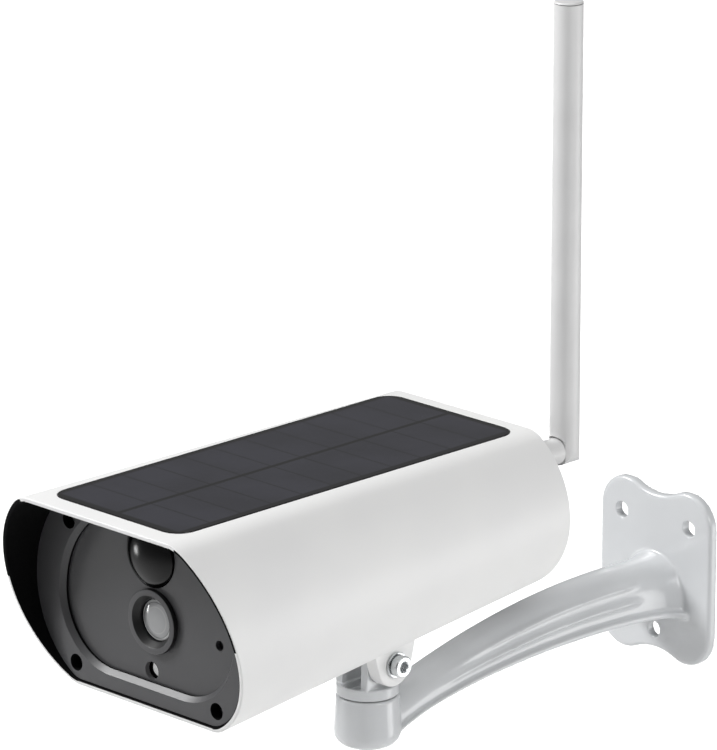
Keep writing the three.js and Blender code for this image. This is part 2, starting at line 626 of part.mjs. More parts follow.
const antenna = new THREE.Group();
antenna.position.set(ANTENNA.x, ANTENNA.y, ANTENNA.z);
head.add(antenna);
piece('antenna_sleeve', antennaSleeve(), white, antenna);
const { tall, rTop, bore } = SLEEVE;
const tip = [
  [0, tall - 6],
  [bore - GAP, tall - 6],
  [bore - GAP, tall + GAP],
  [rTop, tall + GAP],
  [rTop - 0.6, tall + 1.1],
  [0, tall + 1.1],
];
piece('antenna_cap', turnedZ(tip, 24).translate(0, ANTENNA.offset, 0), white, antenna);
piece('antenna_element', rodZ(1.6, 15, tall - 8, 0, ANTENNA.offset, 12), brass, antenna);
const headSeat = ANTENNA.offset + SLEEVE.rLow - SLEEVE.screwDeep + GAP;
const pivot = [
  [0, -7],
  [1.45, -7],
  [1.45, headSeat],
  [2.7, headSeat],
  [2.6, headSeat + 1.8],
  [0, headSeat + 1.8],
];
piece('antenna_pivot_screw', turnedY(pivot, 16), steel, antenna);

export default camera;
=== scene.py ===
import json
import math

import bmesh
import bpy
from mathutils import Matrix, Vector

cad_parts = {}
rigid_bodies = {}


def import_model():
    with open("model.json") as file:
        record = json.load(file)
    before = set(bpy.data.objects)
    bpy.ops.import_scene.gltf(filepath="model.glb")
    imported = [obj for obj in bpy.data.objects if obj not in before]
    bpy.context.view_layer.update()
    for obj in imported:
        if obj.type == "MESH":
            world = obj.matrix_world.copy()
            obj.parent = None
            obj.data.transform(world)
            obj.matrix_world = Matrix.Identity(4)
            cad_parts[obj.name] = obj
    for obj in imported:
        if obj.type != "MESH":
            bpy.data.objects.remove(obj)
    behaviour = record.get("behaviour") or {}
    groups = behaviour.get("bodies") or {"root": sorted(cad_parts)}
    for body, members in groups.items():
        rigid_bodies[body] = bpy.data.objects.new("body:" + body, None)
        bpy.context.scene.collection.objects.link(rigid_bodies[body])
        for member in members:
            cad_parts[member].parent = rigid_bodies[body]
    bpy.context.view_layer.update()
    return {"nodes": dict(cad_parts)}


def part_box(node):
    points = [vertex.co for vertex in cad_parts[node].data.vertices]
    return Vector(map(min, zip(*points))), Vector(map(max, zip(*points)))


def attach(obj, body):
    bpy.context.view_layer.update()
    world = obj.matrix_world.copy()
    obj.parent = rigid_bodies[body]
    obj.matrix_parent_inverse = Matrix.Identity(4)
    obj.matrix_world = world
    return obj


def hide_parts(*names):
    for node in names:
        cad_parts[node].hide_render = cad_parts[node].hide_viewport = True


for leftover in list(bpy.data.objects):
    bpy.data.objects.remove(leftover)
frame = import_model()

MM = 0.001


# ---- Wall bracket -------------------------------------------------------------------------------------
# Plate, arched arm and swivel cup, one aluminium die casting with a gloss light grey powder coat. The arm
# is a hollow channel with two ribs down each side. Three holes in the plate take the screws to the wall.
def spread(start, end, steps):
    """Even steps from start to end, with both ends."""
    return [start + (end - start) * i / steps for i in range(steps + 1)]


def arc(x, y, r, start, end, steps):
    """Points on an arc, angles in degrees."""
    return [(x + r * math.cos(a), y + r * math.sin(a)) for a in map(math.radians, spread(start, end, steps))]


def mirror_half(half):
    """A closed outline from its right-hand half, top to bottom."""
    outline = half + [(-x, y) for x, y in reversed(half)]
    return [p for i, p in enumerate(outline) if math.dist(p, outline[i - 1]) > 1e-5]


def mesh_piece(name, points, faces):
    """An object from points in millimetres. Its own origin stays at the frame's."""
    mesh = bpy.data.meshes.new(name)
    mesh.from_pydata([Vector(p) * MM for p in points], [], faces)
    shape = bmesh.new()
    shape.from_mesh(mesh)
    bmesh.ops.remove_doubles(shape, verts=shape.verts, dist=1e-7)
    bmesh.ops.recalc_face_normals(shape, faces=shape.faces)
    shape.to_mesh(mesh)
    shape.free()
    piece = bpy.data.objects.new(name, mesh)
    bpy.context.scene.collection.objects.link(piece)
    return piece


def loft(name, rings, closed=False):
    """Skins rings of points one after another, with end caps unless the last ring joins the first."""
    count = len(rings[0])
    points = [p for ring in rings for p in ring]
    spans = len(rings) if closed else len(rings) - 1
    faces = []
    for a in range(spans):
        b = (a + 1) % len(rings)
        for i in range(count):
            j = (i + 1) % count
            faces.append((a * count + i, a * count + j, b * count + j, b * count + i))
    if not closed:
        faces += [range(count), range(len(points) - count, len(points))]
    return mesh_piece(name, points, faces)


def prism(name, outline, axis, low, high):
    """An outline stood out along one axis. Its points are the other two coordinates, in X, Y, Z order."""
    def place(p, depth):
        return {"X": (depth, *p), "Y": (p[0], depth, p[1]), "Z": (*p, depth)}[axis]

    return loft(name, [[place(p, depth) for p in outline] for depth in (low, high)])


def turned(name, profile, axis, centre=(0, 0, 0), sides=64, closed=False):
    """A lathe profile of (radius, place along the axis), turned about an axis through centre."""
    rings = []
    for r, place in profile:
        circle = arc(0, 0, r, 0, 360 - 360 / sides, sides - 1)
        spots = {
            "X": [(place, u, v) for u, v in circle],
            "Y": [(u, place, v) for u, v in circle],
            "Z": [(u, v, place) for u, v in circle],
        }[axis]
        rings.append([tuple(a + b for a, b in zip(spot, centre)) for spot in spots])
    return loft(name, rings, closed)


def rod(axis, r, low, high, centre=(0, 0, 0), sides=64):
    """A plain round bar along an axis, mostly to cut a hole with."""
    return turned("rod", [(0, low), (r, low), (r, high), (0, high)], axis, centre, sides)


def bake(piece):
    """Makes the modifiers part of the mesh."""
    made = piece.evaluated_get(bpy.context.evaluated_depsgraph_get())
    mesh = bpy.data.meshes.new_from_object(made)
    piece.modifiers.clear()
    piece.data = mesh
    return piece


def combine(piece, others, operation):
    """Joins other pieces to this one, or cuts them out of it, and uses them up."""
    for other in others:
        step = piece.modifiers.new(operation, "BOOLEAN")
        step.operation = operation
        step.solver = "EXACT"
        step.object = other
    bake(piece)
    for other in others:
        bpy.data.objects.remove(other)
    return piece


def cast(piece, grain, passes):
    """Turns joined solids into one cast skin with soft inside and outside corners."""
    skin = piece.modifiers.new("skin", "REMESH")
    skin.mode = "VOXEL"
    skin.voxel_size = grain * MM
    soft = piece.modifiers.new("soft", "SMOOTH")
    soft.factor = 0.5
    soft.iterations = passes
    return bake(piece)


PLATE_THICK, PLATE_EDGE, PLATE_SHOULDER = 4.0, 1.6, 65.0
PLATE_LOBE = (16.5, 23.0, 13.5)  # across, up, radius
PLATE_HOLES, PLATE_HOLE_R = ((18.25, 22.0), (-18.25, 22.0), (0.0, -25.0)), 3.25
CUP_Y, CUP_TOP, CUP_BOTTOM = -169.0, -10.5, -31.0
CUP_TOP_R, CUP_LOW_R, CUP_ROUND, CUP_RIM = 12.4, 13.3, 6.0, 0.5
SCREW_WAY_R, COUNTERBORE_R, COUNTERBORE_TOP = 2.8, 6.2, -20.7
ARM_FROM, ARM_TO = CUP_Y + 6, -3.5
HOLLOW_FROM, HOLLOW_TO = CUP_Y + 16.5, -12
ARM_HALF, ARM_SPREAD, ARM_ROOT, CUP_ROOT = 11.5, 3, 5, 2.6
CROWN = {"top": 7.8, "peak": -38, "bend": 686, "fillet": 2.2}
FLANGE = {"top": -12.1, "peak": -62, "bend": 1040, "fillet": 1.2}
RIB_PLACES, RIB_PROUD, RIB_BROAD = (0.71, 0.4), 0.11, 0.055
RIB_FROM, RIB_TO = -140, -23
FLANGE_STEPS = [(0.83, 0.15), (0.86, 0.125), (0.98, 0.11), (1, 0.09), (1, 0.02), (0.98, 0)]
HOLLOW_HALF = [(0, 0.8), (0.3, 0.76), (0.5, 0.6), (0.6, 0.3), (0.62, -0.3)]
FAR = 40  # how far a cutter runs past the piece it cuts


def plate_outline(inset=0.0):
    """Two lobes above and two below, with a shallow hollow between each pair."""
    across, up, r = PLATE_LOBE
    reach = across / math.cos(math.radians(PLATE_SHOULDER))
    waist_z = up + reach * math.sin(math.radians(PLATE_SHOULDER))
    top = arc(0, waist_z, reach - r + inset, 270, 270 + 90 - PLATE_SHOULDER, 8)
    top += arc(across, up, r - inset, 180 - PLATE_SHOULDER, 0, 18)[1:]
    return mirror_half(top + [(x, -z) for x, z in reversed(top)])


def arm_ring(y, section):
    """The arm's section at y. Crown and flange are shallow arches that flare into the plate and the cup."""
    fillet = math.exp((y + PLATE_THICK) / 6)
    top = CROWN["top"] - (y - CROWN["peak"]) ** 2 / CROWN["bend"] + CROWN["fillet"] * fillet
    low = FLANGE["top"] - (y - FLANGE["peak"]) ** 2 / FLANGE["bend"] - FLANGE["fillet"] * fillet
    low -= CUP_ROOT * math.exp((CUP_Y + 12 - y) / 14)
    half = ARM_HALF + ARM_SPREAD * (y - CUP_Y) / -CUP_Y + ARM_ROOT * math.exp((y + PLATE_THICK) / 8)
    return [(x * half, y, low + z * (top - low)) for x, z in section(y)]


def arm_outside(y):
    """Across and up in shares of the half width and height. The flank is a round shoulder that stands a
    little wider at its foot, and the ribs rise out of it in mid arm."""
    fade = min(1, max(0, (RIB_TO - y) / 9)) * min(1, max(0, (y - RIB_FROM) / 40))
    half = []
    for share in spread(0, 1, 40):
        up = 1 - 0.8 * share**1.3
        across = 0.8 * max(0, 1 - abs((up - 0.2) / 0.8) ** 2.6) ** 0.5 + 0.02 * (1 - up)
        for rib in RIB_PLACES:
            across += RIB_PROUD * fade * math.exp(-(((up - rib) / RIB_BROAD) ** 2))
        half.append((across, up))
    return mirror_half([(0, 1), *half[1:], *FLANGE_STEPS])


def arm_inside(y):
    """The hollow under the arm has the same shape all along."""
    return mirror_half(HOLLOW_HALF)


bracket = loft("bracket_casting", [arm_ring(y, arm_outside) for y in spread(ARM_FROM, ARM_TO, 60)])
hollow = loft("hollow", [arm_ring(y, arm_inside) for y in spread(HOLLOW_FROM, HOLLOW_TO, 30)])
combine(bracket, [hollow], "DIFFERENCE")
plate_rings = []
for a in map(math.radians, spread(90, 0, 6)):
    face_y = -PLATE_THICK + PLATE_EDGE * (1 - math.sin(a))
    plate_rings.append([(x, face_y, z) for x, z in plate_outline(PLATE_EDGE * (1 - math.cos(a)))])
plate_rings.append([(x, 0, z) for x, z in plate_outline()])
cup_profile = [(0, CUP_BOTTOM), *arc(CUP_LOW_R - CUP_ROUND, CUP_BOTTOM + CUP_ROUND, CUP_ROUND, -90, 0, 8)]
cup_profile += [(CUP_TOP_R, CUP_TOP - CUP_RIM), (CUP_TOP_R - CUP_RIM, CUP_TOP), (0, CUP_TOP)]
cup_at = (0, CUP_Y, 0)
combine(bracket, [loft("plate", plate_rings), turned("cup", cup_profile, "Z", cup_at)], "UNION")
combine(bracket, [
    *[rod("Y", PLATE_HOLE_R, -9, 3, (x, 0, z), 40) for x, z in PLATE_HOLES],
    rod("Z", COUNTERBORE_R, -FAR, COUNTERBORE_TOP, cup_at),
    rod("Z", SCREW_WAY_R, -FAR, 0, cup_at),
], "DIFFERENCE")
cast(bracket, 0.5, 3)


def hex_colour(code):
    """An sRGB hex colour as the linear values that shaders take."""
    parts = [int(code[i : i + 2], 16) / 255 for i in (1, 3, 5)]
    return [c / 12.92 if c <= 0.04045 else ((c + 0.055) / 1.055) ** 2.4 for c in parts] + [1.0]


def add(tree, kind, sockets=(), feeds=(), stops=(), **settings):
    """Adds a node with its settings. A socket takes a value or another node's output, feeds leads outputs
    to the shader's inputs, and stops are the places and hex colours of a colour ramp."""
    node = tree.nodes.new("ShaderNode" + kind)
    for key, value in settings.items():
        setattr(node, key, value)
    for key, value in dict(sockets).items():
        if isinstance(value, bpy.types.NodeSocket):
            tree.links.new(value, node.inputs[key])
        else:
            node.inputs[key].default_value = value
    for key, target in dict(feeds).items():
        tree.links.new(node.outputs[key], tree.nodes["Principled BSDF"].inputs[target])
    for number, (place, code) in enumerate(stops):
        ramp = node.color_ramp.elements
        mark = ramp[number] if number < len(ramp) else ramp.new(place)
        mark.position = place
        mark.color = hex_colour(code)
    return node


def new_material(name, **constants):
    """A material whose shader's constants are set. Returns it with its nodes and its places."""
    material = bpy.data.materials.new(name)
    material.use_nodes = True
    tree = material.node_tree
    shader = tree.nodes["Principled BSDF"]
    for key, value in constants.items():
        shader.inputs[key.replace("_", " ")].default_value = value
    return material, tree, add(tree, "TexCoord").outputs["Object"]


# Powder coat on a casting: a gloss film with a slow wave and an orange peel of about 1.5 mm.
powder_coat, tree, place = new_material(
    "gloss_powder_coat_on_die_casting", Roughness=0.24, IOR=1.5, Coat_Weight=0.4, Coat_Roughness=0.12)
cloud = add(tree, "TexNoise", {"Vector": place, "Scale": 1 / (35 * MM), "Detail": 3.0})
add(tree, "ValToRGB", {"Fac": cloud.outputs["Fac"]}, {"Color": "Base Color"},
    stops=[(0.3, "#C6C8CA"), (0.7, "#CCCED0")])
peel = add(tree, "TexNoise", {"Vector": place, "Scale": 1 / (1.5 * MM), "Detail": 1.5})
add(tree, "Bump", {"Height": peel.outputs["Fac"], "Distance": 0.02 * MM}, {"Normal": "Normal"})


def fit(piece, body, material, nodes, crease=35):
    """Gives a piece its finish, hangs it on its body and lets it stand for its CAD nodes."""
    piece.data.materials.clear()
    piece.data.materials.append(material)
    for face in piece.data.polygons:
        face.use_smooth = True
    piece.data.set_sharp_from_angle(angle=math.radians(crease))
    piece.modifiers.new("even_light", "WEIGHTED_NORMAL").keep_sharp = True
    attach(piece, body)
    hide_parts(*nodes)


fit(bracket, "bracket", powder_coat, ["wall_bracket"], crease=80)


# ---- Swivel -------------------------------------------------------------------------------------------
# A cast ring with two ears that turns on the cup, in the same powder coat. A zinc plated cap screw comes
# up through the cup's floor from below and holds it, and sets how stiffly it pans.
M5_SHANK, M5_HEAD, M5_WASHER, M5_HOLE, M5_SOCKET = 2.4, 4.3, 5.2, 2.8, 4.0
RING_R, RING_LOW, RING_TOP, RING_EDGE = 12.25, -10.0, -5.5, 0.5
DISH_R, DISH_DEEP, DISH_SIDE, DISH_LONG = 10.9, 3.0, 4.2, 24.0
TILT_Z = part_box("tilt_bolt")[0].z / MM + M5_HEAD
EAR_IN, EAR_OUT, EAR_R, EAR_FOOT = 5.0, 8.6, 8.2, 9.2


def rectangle(half_x, half_y):
    """Four corners about the middle, counted anticlockwise."""
    return [(half_x, half_y), (-half_x, half_y), (-half_x, -half_y), (half_x, -half_y)]


ring = turned("swivel_casting", [
    (0, RING_LOW), (RING_R - RING_EDGE, RING_LOW), (RING_R, RING_LOW + RING_EDGE), (RING_R, RING_TOP - 0.4),
    (RING_R - 0.4, RING_TOP), (0, RING_TOP),
], "Z", cup_at, 96)
ear_outline = [(CUP_Y - EAR_FOOT, RING_LOW + 1), (CUP_Y + EAR_FOOT, RING_LOW + 1)]
ear_outline += arc(CUP_Y, TILT_Z, EAR_R, 0, 180, 40)
tilt_centre = (0, CUP_Y, TILT_Z)
ears = prism("ears", ear_outline, "X", EAR_IN, EAR_OUT)
combine(ears, [prism("ear", ear_outline, "X", -EAR_OUT, -EAR_IN)], "UNION")
combine(ears, [rod("Z", RING_R - 0.05, -FAR, FAR, cup_at, 96)], "INTERSECT")
combine(ring, [ears], "UNION")
dish_outline = rectangle(DISH_SIDE, DISH_LONG / 2)
dish = prism("dish", [(x, CUP_Y + y) for x, y in dish_outline], "Z", RING_TOP - DISH_DEEP, RING_TOP + 0.1)
combine(dish, [rod("Z", DISH_R, -FAR, FAR, cup_at, 96)], "INTERSECT")
combine(ring, [
    dish,
    rod("X", M5_HOLE, -FAR, FAR, tilt_centre, 40),
    rod("Z", SCREW_WAY_R, -FAR, 0, cup_at, 40),
], "DIFFERENCE")
cast(ring, 0.22, 3)
fit(ring, "swivel", powder_coat, ["swivel_clevis"], crease=80)

# Zinc plate: a bright metal with fine turning marks and faint cloudy passivation.
zinc, tree, place = new_material("bright_zinc_plate", Metallic=1.0, Roughness=0.24)
cloud = add(tree, "TexNoise", {"Vector": place, "Scale": 1 / (3 * MM), "Detail": 4.0})
add(tree, "ValToRGB", {"Fac": cloud.outputs["Fac"]}, {"Color": "Base Color"},
    stops=[(0.3, "#B9BCBE"), (0.7, "#D5D7D8")])
marks = add(tree, "TexNoise", {"Vector": place, "Scale": 1 / (0.35 * MM), "Detail": 2.0})
add(tree, "MapRange", {"Value": marks.outputs["Fac"], "To Min": 0.16, "To Max": 0.34},
    {"Result": "Roughness"})
add(tree, "Bump", {"Height": marks.outputs["Fac"], "Distance": 0.01 * MM}, {"Normal": "Normal"})


def cap_screw(name, axis, seat, out, tall, long, centre):
    """A socket cap screw whose head stands on seat and points the way of out, which is 1 or -1."""
    chamfer, key_r, lead = 0.45, M5_SOCKET / math.sqrt(3), 0.25
    face = seat + out * tall
    end = seat - out * long
    profile = [
        (0, end), (M5_SHANK - 0.4, end), (M5_SHANK, end + out * 0.5), (M5_SHANK, seat), (M5_HEAD, seat),
        (M5_HEAD, face - out * chamfer), (M5_HEAD - chamfer, face), (0, face),
    ]
    screw = turned(name, profile, axis, centre, 56)
    key = rod(axis, key_r, seat + out * tall * 0.35, face + out, centre, 6)
    mouth_low, mouth_high = face - out * 0.3, face + out * 0.1
    mouth = [(0, mouth_low), (key_r - lead, mouth_low), (key_r + lead, mouth_high), (0, mouth_high)]
    return combine(screw, [key, turned("mouth", mouth, axis, centre, 40)], "DIFFERENCE")


def flat_washer(name, axis, low, high, centre):
    """A stamped washer with rolled edges."""
    roll = 0.25
    profile = [(M5_HOLE, low), (M5_WASHER - roll, low), (M5_WASHER, low + roll), (M5_WASHER, high - roll),
               (M5_WASHER - roll, high), (M5_HOLE + roll, high), (M5_HOLE, high - roll)]
    return turned(name, profile, axis, centre, 56, closed=True)


washer_low, washer_high = (corner.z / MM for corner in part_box("swivel_washer"))
fit(flat_washer("swivel_washer_plate", "Z", washer_low, washer_high, cup_at),
    "swivel", zinc, ["swivel_washer"])
screw_low, screw_high = (corner.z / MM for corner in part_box("swivel_screw"))
swivel_head = 4.5
shank_long = screw_high - screw_low - swivel_head
fit(cap_screw("swivel_cap_screw", "Z", screw_low + swivel_head, -1, swivel_head, shank_long, cup_at),
    "swivel", zinc, ["swivel_screw"])

# ---- Mount foot and tilt bolt -------------------------------------------------------------------------
# The foot is a white lacquered block under the tube whose two cheeks close over the swivel's ears. An M5
# cap screw, two washers and a nut clamp the four together and set how stiffly the camera nods.
WINDOW_FACE = 0.9
HEAD_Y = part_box("front_window")[0].y / MM - WINDOW_FACE
BODY_TOP_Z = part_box("housing_shell")[1].z / MM
BODY_HIGH, BODY_LOW = 42.8, -37.0
HEAD_Z = BODY_TOP_Z - BODY_HIGH
BODY_TIP, BODY_REAR, BODY_WALL, VISOR = -27.0, 168.4, 2.0, 0.306
TAPER_FROM, TAPER_WIDE, TAPER_DEEP = -3.0, 0.000515, 0.00119


def width_at(y):
    """The tube's share of its front width at y."""
    return 1 - TAPER_WIDE * (y - TAPER_FROM)


def depth_at(y):
    """The tube's share of its front height at y."""
    return 1 - TAPER_DEEP * (y - TAPER_FROM)


def height_at(y, z):
    """Where a height at the front has gone to at y: the tube tapers towards its flat roof."""
    return BODY_HIGH - (BODY_HIGH - z) * depth_at(y)


def soften(piece, width, angle=35, segments=2):
    """Breaks the sharp edges of a piece, by a width in millimetres, where they turn by more than angle."""
    step = piece.modifiers.new("soft_edge", "BEVEL")
    step.width = width * MM
    step.segments = segments
    step.angle_limit = math.radians(angle)
    return bake(piece)


FOOT_IN, FOOT_OUT, FOOT_R, FOOT_DRAFT, FOOT_SLOT, FOOT_GAP = 9.0, 15.3, 9.0, 15.6, 9.3, 0.4


def foot_seat(y):
    """The foot's top follows the tube's sloping underside. y is measured from the tilt bolt."""
    return HEAD_Z + height_at(y + CUP_Y - HEAD_Y, BODY_LOW) - FOOT_GAP


draft = math.radians(FOOT_DRAFT)
foot_half = (FOOT_R + (foot_seat(0) - TILT_Z) * math.sin(draft)) / math.cos(draft)
foot_outline = [(CUP_Y + foot_half, foot_seat(foot_half)), (CUP_Y - foot_half, foot_seat(-foot_half))]
foot_outline += arc(CUP_Y, TILT_Z, FOOT_R, 180 + FOOT_DRAFT, 360 - FOOT_DRAFT, 40)
foot = prism("mount_foot_block", foot_outline, "X", -FOOT_OUT, FOOT_OUT)
slot_top = TILT_Z + FOOT_SLOT
slot_outline = [(CUP_Y + y, slot_top + z) for y, z in ((-FAR, -FAR), (FAR, -FAR), (FAR, 0), (-FAR, 0))]
combine(foot, [
    prism("slot", slot_outline, "X", -FOOT_IN, FOOT_IN),
    rod("X", M5_HOLE, -FAR, FAR, tilt_centre, 40),
], "DIFFERENCE")
soften(foot, 0.6, 40, 3)

# Satin lacquer on aluminium: a slight sheen, a fine peel of about 0.6 mm and a faint drift in tone.
white_lacquer, tree, place = new_material(
    "white_satin_lacquer_on_aluminium", Roughness=0.42, IOR=1.5)
drift = add(tree, "TexNoise", {"Vector": place, "Scale": 1 / (60 * MM), "Detail": 2.0})
add(tree, "ValToRGB", {"Fac": drift.outputs["Fac"]}, {"Color": "Base Color"},
    stops=[(0.3, "#E2E2E2"), (0.7, "#E8E8E7")])
peel = add(tree, "TexNoise", {"Vector": place, "Scale": 1 / (0.6 * MM), "Detail": 2.0})
add(tree, "MapRange", {"Value": peel.outputs["Fac"], "To Min": 0.38, "To Max": 0.46},
    {"Result": "Roughness"})
add(tree, "Bump", {"Height": peel.outputs["Fac"], "Distance": 0.008 * MM}, {"Normal": "Normal"})

fit(foot, "head", white_lacquer, ["mount_foot"])
for side in ("right", "left"):
    low, high = (corner.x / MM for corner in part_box(f"tilt_washer_{side}"))
    fit(flat_washer(f"tilt_washer_{side}_plate", "X", low, high, tilt_centre),
        "head", zinc, [f"tilt_washer_{side}"])
bolt_left, bolt_right = (corner.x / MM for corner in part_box("tilt_bolt"))
bolt_head = 3.2
bolt_seat = bolt_right - bolt_head
fit(cap_screw("tilt_cap_screw", "X", bolt_seat, 1, bolt_head, bolt_seat - bolt_left, tilt_centre),
    "head", zinc, ["tilt_bolt"])
nut_left, nut_right = (corner.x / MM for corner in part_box("tilt_nut"))
nut_flats = 8
nut_r = nut_flats / math.sqrt(3)
nut = turned("tilt_hex_nut", [(0, nut_left), (nut_r, nut_left), (nut_r, nut_right), (0, nut_right)],
             "X", tilt_centre, 6)
nut_limit = [(0, nut_left), (nut_r - 0.6, nut_left), (nut_r, nut_left + 0.5), (nut_r, nut_right - 0.5),
             (nut_r - 0.6, nut_right), (0, nut_right)]
combine(nut, [turned("nut_limit", nut_limit, "X", tilt_centre, 56)], "INTERSECT")
combine(nut, [rod("X", M5_HOLE - 0.05, -FAR, 0, tilt_centre, 40)], "DIFFERENCE")
fit(nut, "head", zinc, ["tilt_nut"])

# ---- Housing tube -------------------------------------------------------------------------------------
# A drawn aluminium tube, white satin lacquer outside and matt black inside so that the hood throws no
# light into the lens. Its mouth is cut back at a slant, and two screws from inside hold it to the foot.
UPPER_SIDE = {"x": 12.5, "z": 2.0, "r": 50.0, "corner": 14.0}
LOWER_SIDE = {"x": 18.5, "z": 2.0, "r": 44.0, "corner": 12.0}


def tube_outline(inset, steps=20):
    """The tube's section at the front: a flat roof and floor, round flanks and smaller round corners."""
    def corner(side, flat):
        c = side["corner"]
        z = flat - math.copysign(c, flat)
        x = side["x"] + math.sqrt((side["r"] - c) ** 2 - (z - side["z"]) ** 2)
        return x, z, math.degrees(math.atan2(z - side["z"], x - side["x"]))

    high_x, high_z, high = corner(UPPER_SIDE, BODY_HIGH)
    low_x, low_z, low = corner(LOWER_SIDE, BODY_LOW)
    half = arc(high_x, high_z, UPPER_SIDE["corner"] - inset, 90, high, steps // 2)
    half += arc(UPPER_SIDE["x"], UPPER_SIDE["z"], UPPER_SIDE["r"] - inset, high, 0, steps)[1:]
    half += arc(LOWER_SIDE["x"], LOWER_SIDE["z"], LOWER_SIDE["r"] - inset, 0, low, steps)[1:]
    half += arc(low_x, low_z, LOWER_SIDE["corner"] - inset, low, -90, steps // 2)[1:]
    return mirror_half(half)


def on_tube(x, z, y):
    """A point of the front section carried back to y along the taper, in the wall's frame."""
    return x * width_at(y), y + HEAD_Y, height_at(y, z) + HEAD_Z


def mouth_at(z):
    """Where the slanted cut of the mouth meets the line that starts at height z."""
    run = VISOR * (BODY_HIGH - z)
    return (BODY_TIP + run * (1 + TAPER_DEEP * TAPER_FROM)) / (1 + run * TAPER_DEEP)


# The wall's own section, as (inset, share of the way to the rear, set back from the mouth).
LIP = 0.5
wall_shares = [1, 0.8, 0.6, 0.4, 0.2, 0.05]
wall = [(0, share, 0) for share in wall_shares]
for a in map(math.radians, spread(0, 90, 3)):
    wall.append((LIP * (1 - math.cos(a)), 0, LIP * (1 - math.sin(a))))
for a in map(math.radians, spread(0, 90, 3)):
    wall.append((BODY_WALL - LIP * (1 - math.sin(a)), 0, LIP * (1 - math.cos(a))))
wall += [(BODY_WALL, share, 0) for share in reversed(wall_shares)]
tube_rings = []
for inset, share, back in wall:
    tube_rings.append([on_tube(x, z, mouth_at(z) + back + (BODY_REAR - mouth_at(z) - back) * share)
                       for x, z in tube_outline(inset)])
tube = loft("housing_tube", tube_rings, closed=True)


def rounded_rect(half_x, low_y, high_y, r, steps=12):
    """A rectangle with round corners, centred on x = 0."""
    points = arc(half_x - r, high_y - r, r, 0, 90, steps) + arc(r - half_x, high_y - r, r, 90, 180, steps)
    points += arc(r - half_x, low_y + r, r, 180, 270, steps) + arc(half_x - r, low_y + r, r, 270, 360, steps)
    return points


PANEL_HALF, PANEL_CORNER = 35.0, 8.0
PANEL_FROM, PANEL_TO = HEAD_Y - 18.0, HEAD_Y + 162.0
SEAM, POCKET_DEEP = 0.3, 1.5
pocket = rounded_rect(PANEL_HALF + SEAM, PANEL_FROM - SEAM, PANEL_TO + SEAM, PANEL_CORNER + SEAM)
combine(tube, [prism("pocket", pocket, "Z", BODY_TOP_Z - POCKET_DEEP, BODY_TOP_Z + FAR)], "DIFFERENCE")

# Matt black lacquer inside the tube: nearly no sheen, a coarse sprayed grain of about 0.8 mm. It also paints
# shadow on the grey wall of the window's opening.
black_lacquer_and_painted_shadow, tree, place = new_material(
    "matt_black_lacquer_and_painted_shadow", Roughness=0.9, Specular_IOR_Level=0.1)
spray = add(tree, "TexNoise", {"Vector": place, "Scale": 1 / (0.8 * MM), "Detail": 3.0})
add(tree, "ValToRGB", {"Fac": spray.outputs["Fac"]}, {"Color": "Base Color"},
    stops=[(0.3, "#040405"), (0.7, "#0B0B0C")])
add(tree, "Bump", {"Height": spray.outputs["Fac"], "Distance": 0.02 * MM}, {"Normal": "Normal"})

fit(tube, "head", white_lacquer, ["housing_shell"])
tube.data.materials.append(black_lacquer_and_painted_shadow)
tube_axis = Vector((0, 0, HEAD_Z + 3)) * MM
wall_top_z = (BODY_TOP_Z - BODY_WALL + 0.2) * MM
for face in tube.data.polygons:
    outward = face.center - tube_axis
    flank = Vector((outward.x, 0, outward.z))
    if face.normal.dot(flank) < 0 and face.center.z < wall_top_z:
        face.material_index = 1

# ---- Solar panel --------------------------------------------------------------------------------------
# Two rows of dark monocrystalline cells under a clear cover sheet, glued into a pocket in the roof so that
# it stands 0.3 mm proud. A wide gap runs between the rows and hair lines part the cells.
CELLS_LONG, CELL_MARGIN, ROW_GAP, CELL_LINE = 11, 3.0, 2.2, 0.28
FINGER_HALF_PITCH, FINGER_HALF, FINGER_SHOWS = 0.6, 0.07, 0.25
cell_pitch = (PANEL_TO - PANEL_FROM - 2 * CELL_MARGIN) / CELLS_LONG
glass_low, glass_high = (corner.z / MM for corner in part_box("solar_glass"))
bevel = 0.25
panel_rings = []
for inset, z in ((0, glass_low), (0, glass_high - bevel), (0.08, glass_high - 0.08), (bevel, glass_high)):
    outline = rounded_rect(PANEL_HALF - inset, PANEL_FROM + inset, PANEL_TO - inset, PANEL_CORNER - inset)
    panel_rings.append([(x, y, z) for x, y in outline])
panel = loft("solar_panel", panel_rings)

# Solar cells under a clear cover: near black with a blue tinge, fine pale contact fingers along each cell,
# and a smooth sheet over them with a long low ripple.
solar, tree, place = new_material("solar_cells_under_clear_cover", Roughness=0.13, IOR=1.45)
axes = add(tree, "SeparateXYZ", {"Vector": place}).outputs
across = add(tree, "Math", {0: axes["X"]}, operation="ABSOLUTE").outputs[0]
cells_from = (PANEL_FROM + CELL_MARGIN) * MM
from_end = add(tree, "Math", {0: axes["Y"], 1: cells_from}, operation="SUBTRACT").outputs[0]
along = add(tree, "Math", {0: from_end, 1: cell_pitch * MM}, operation="DIVIDE").outputs[0]
line_share = add(tree, "Math", {0: along, 1: 0.5}, operation="PINGPONG").outputs[0]
cell_gap = add(tree, "Math", {0: line_share, 1: CELL_LINE / cell_pitch}, operation="LESS_THAN")
row_gap = add(tree, "Math", {0: across, 1: ROW_GAP / 2 * MM}, operation="LESS_THAN")
cells_half = (PANEL_HALF - CELL_MARGIN) * MM
past_side = add(tree, "Math", {0: across, 1: cells_half}, operation="GREATER_THAN")
in_length = add(tree, "Math", {0: along, 1: CELLS_LONG / 2, 2: CELLS_LONG / 2}, operation="COMPARE")
past_end = add(tree, "Math", {0: 1.0, 1: in_length.outputs[0]}, operation="SUBTRACT")
blank = cell_gap.outputs[0]
for other in (row_gap, past_side, past_end):
    blank = add(tree, "Math", {0: blank, 1: other.outputs[0]}, operation="MAXIMUM").outputs[0]
to_finger = add(tree, "Math", {0: axes["X"], 1: FINGER_HALF_PITCH * MM}, operation="PINGPONG")
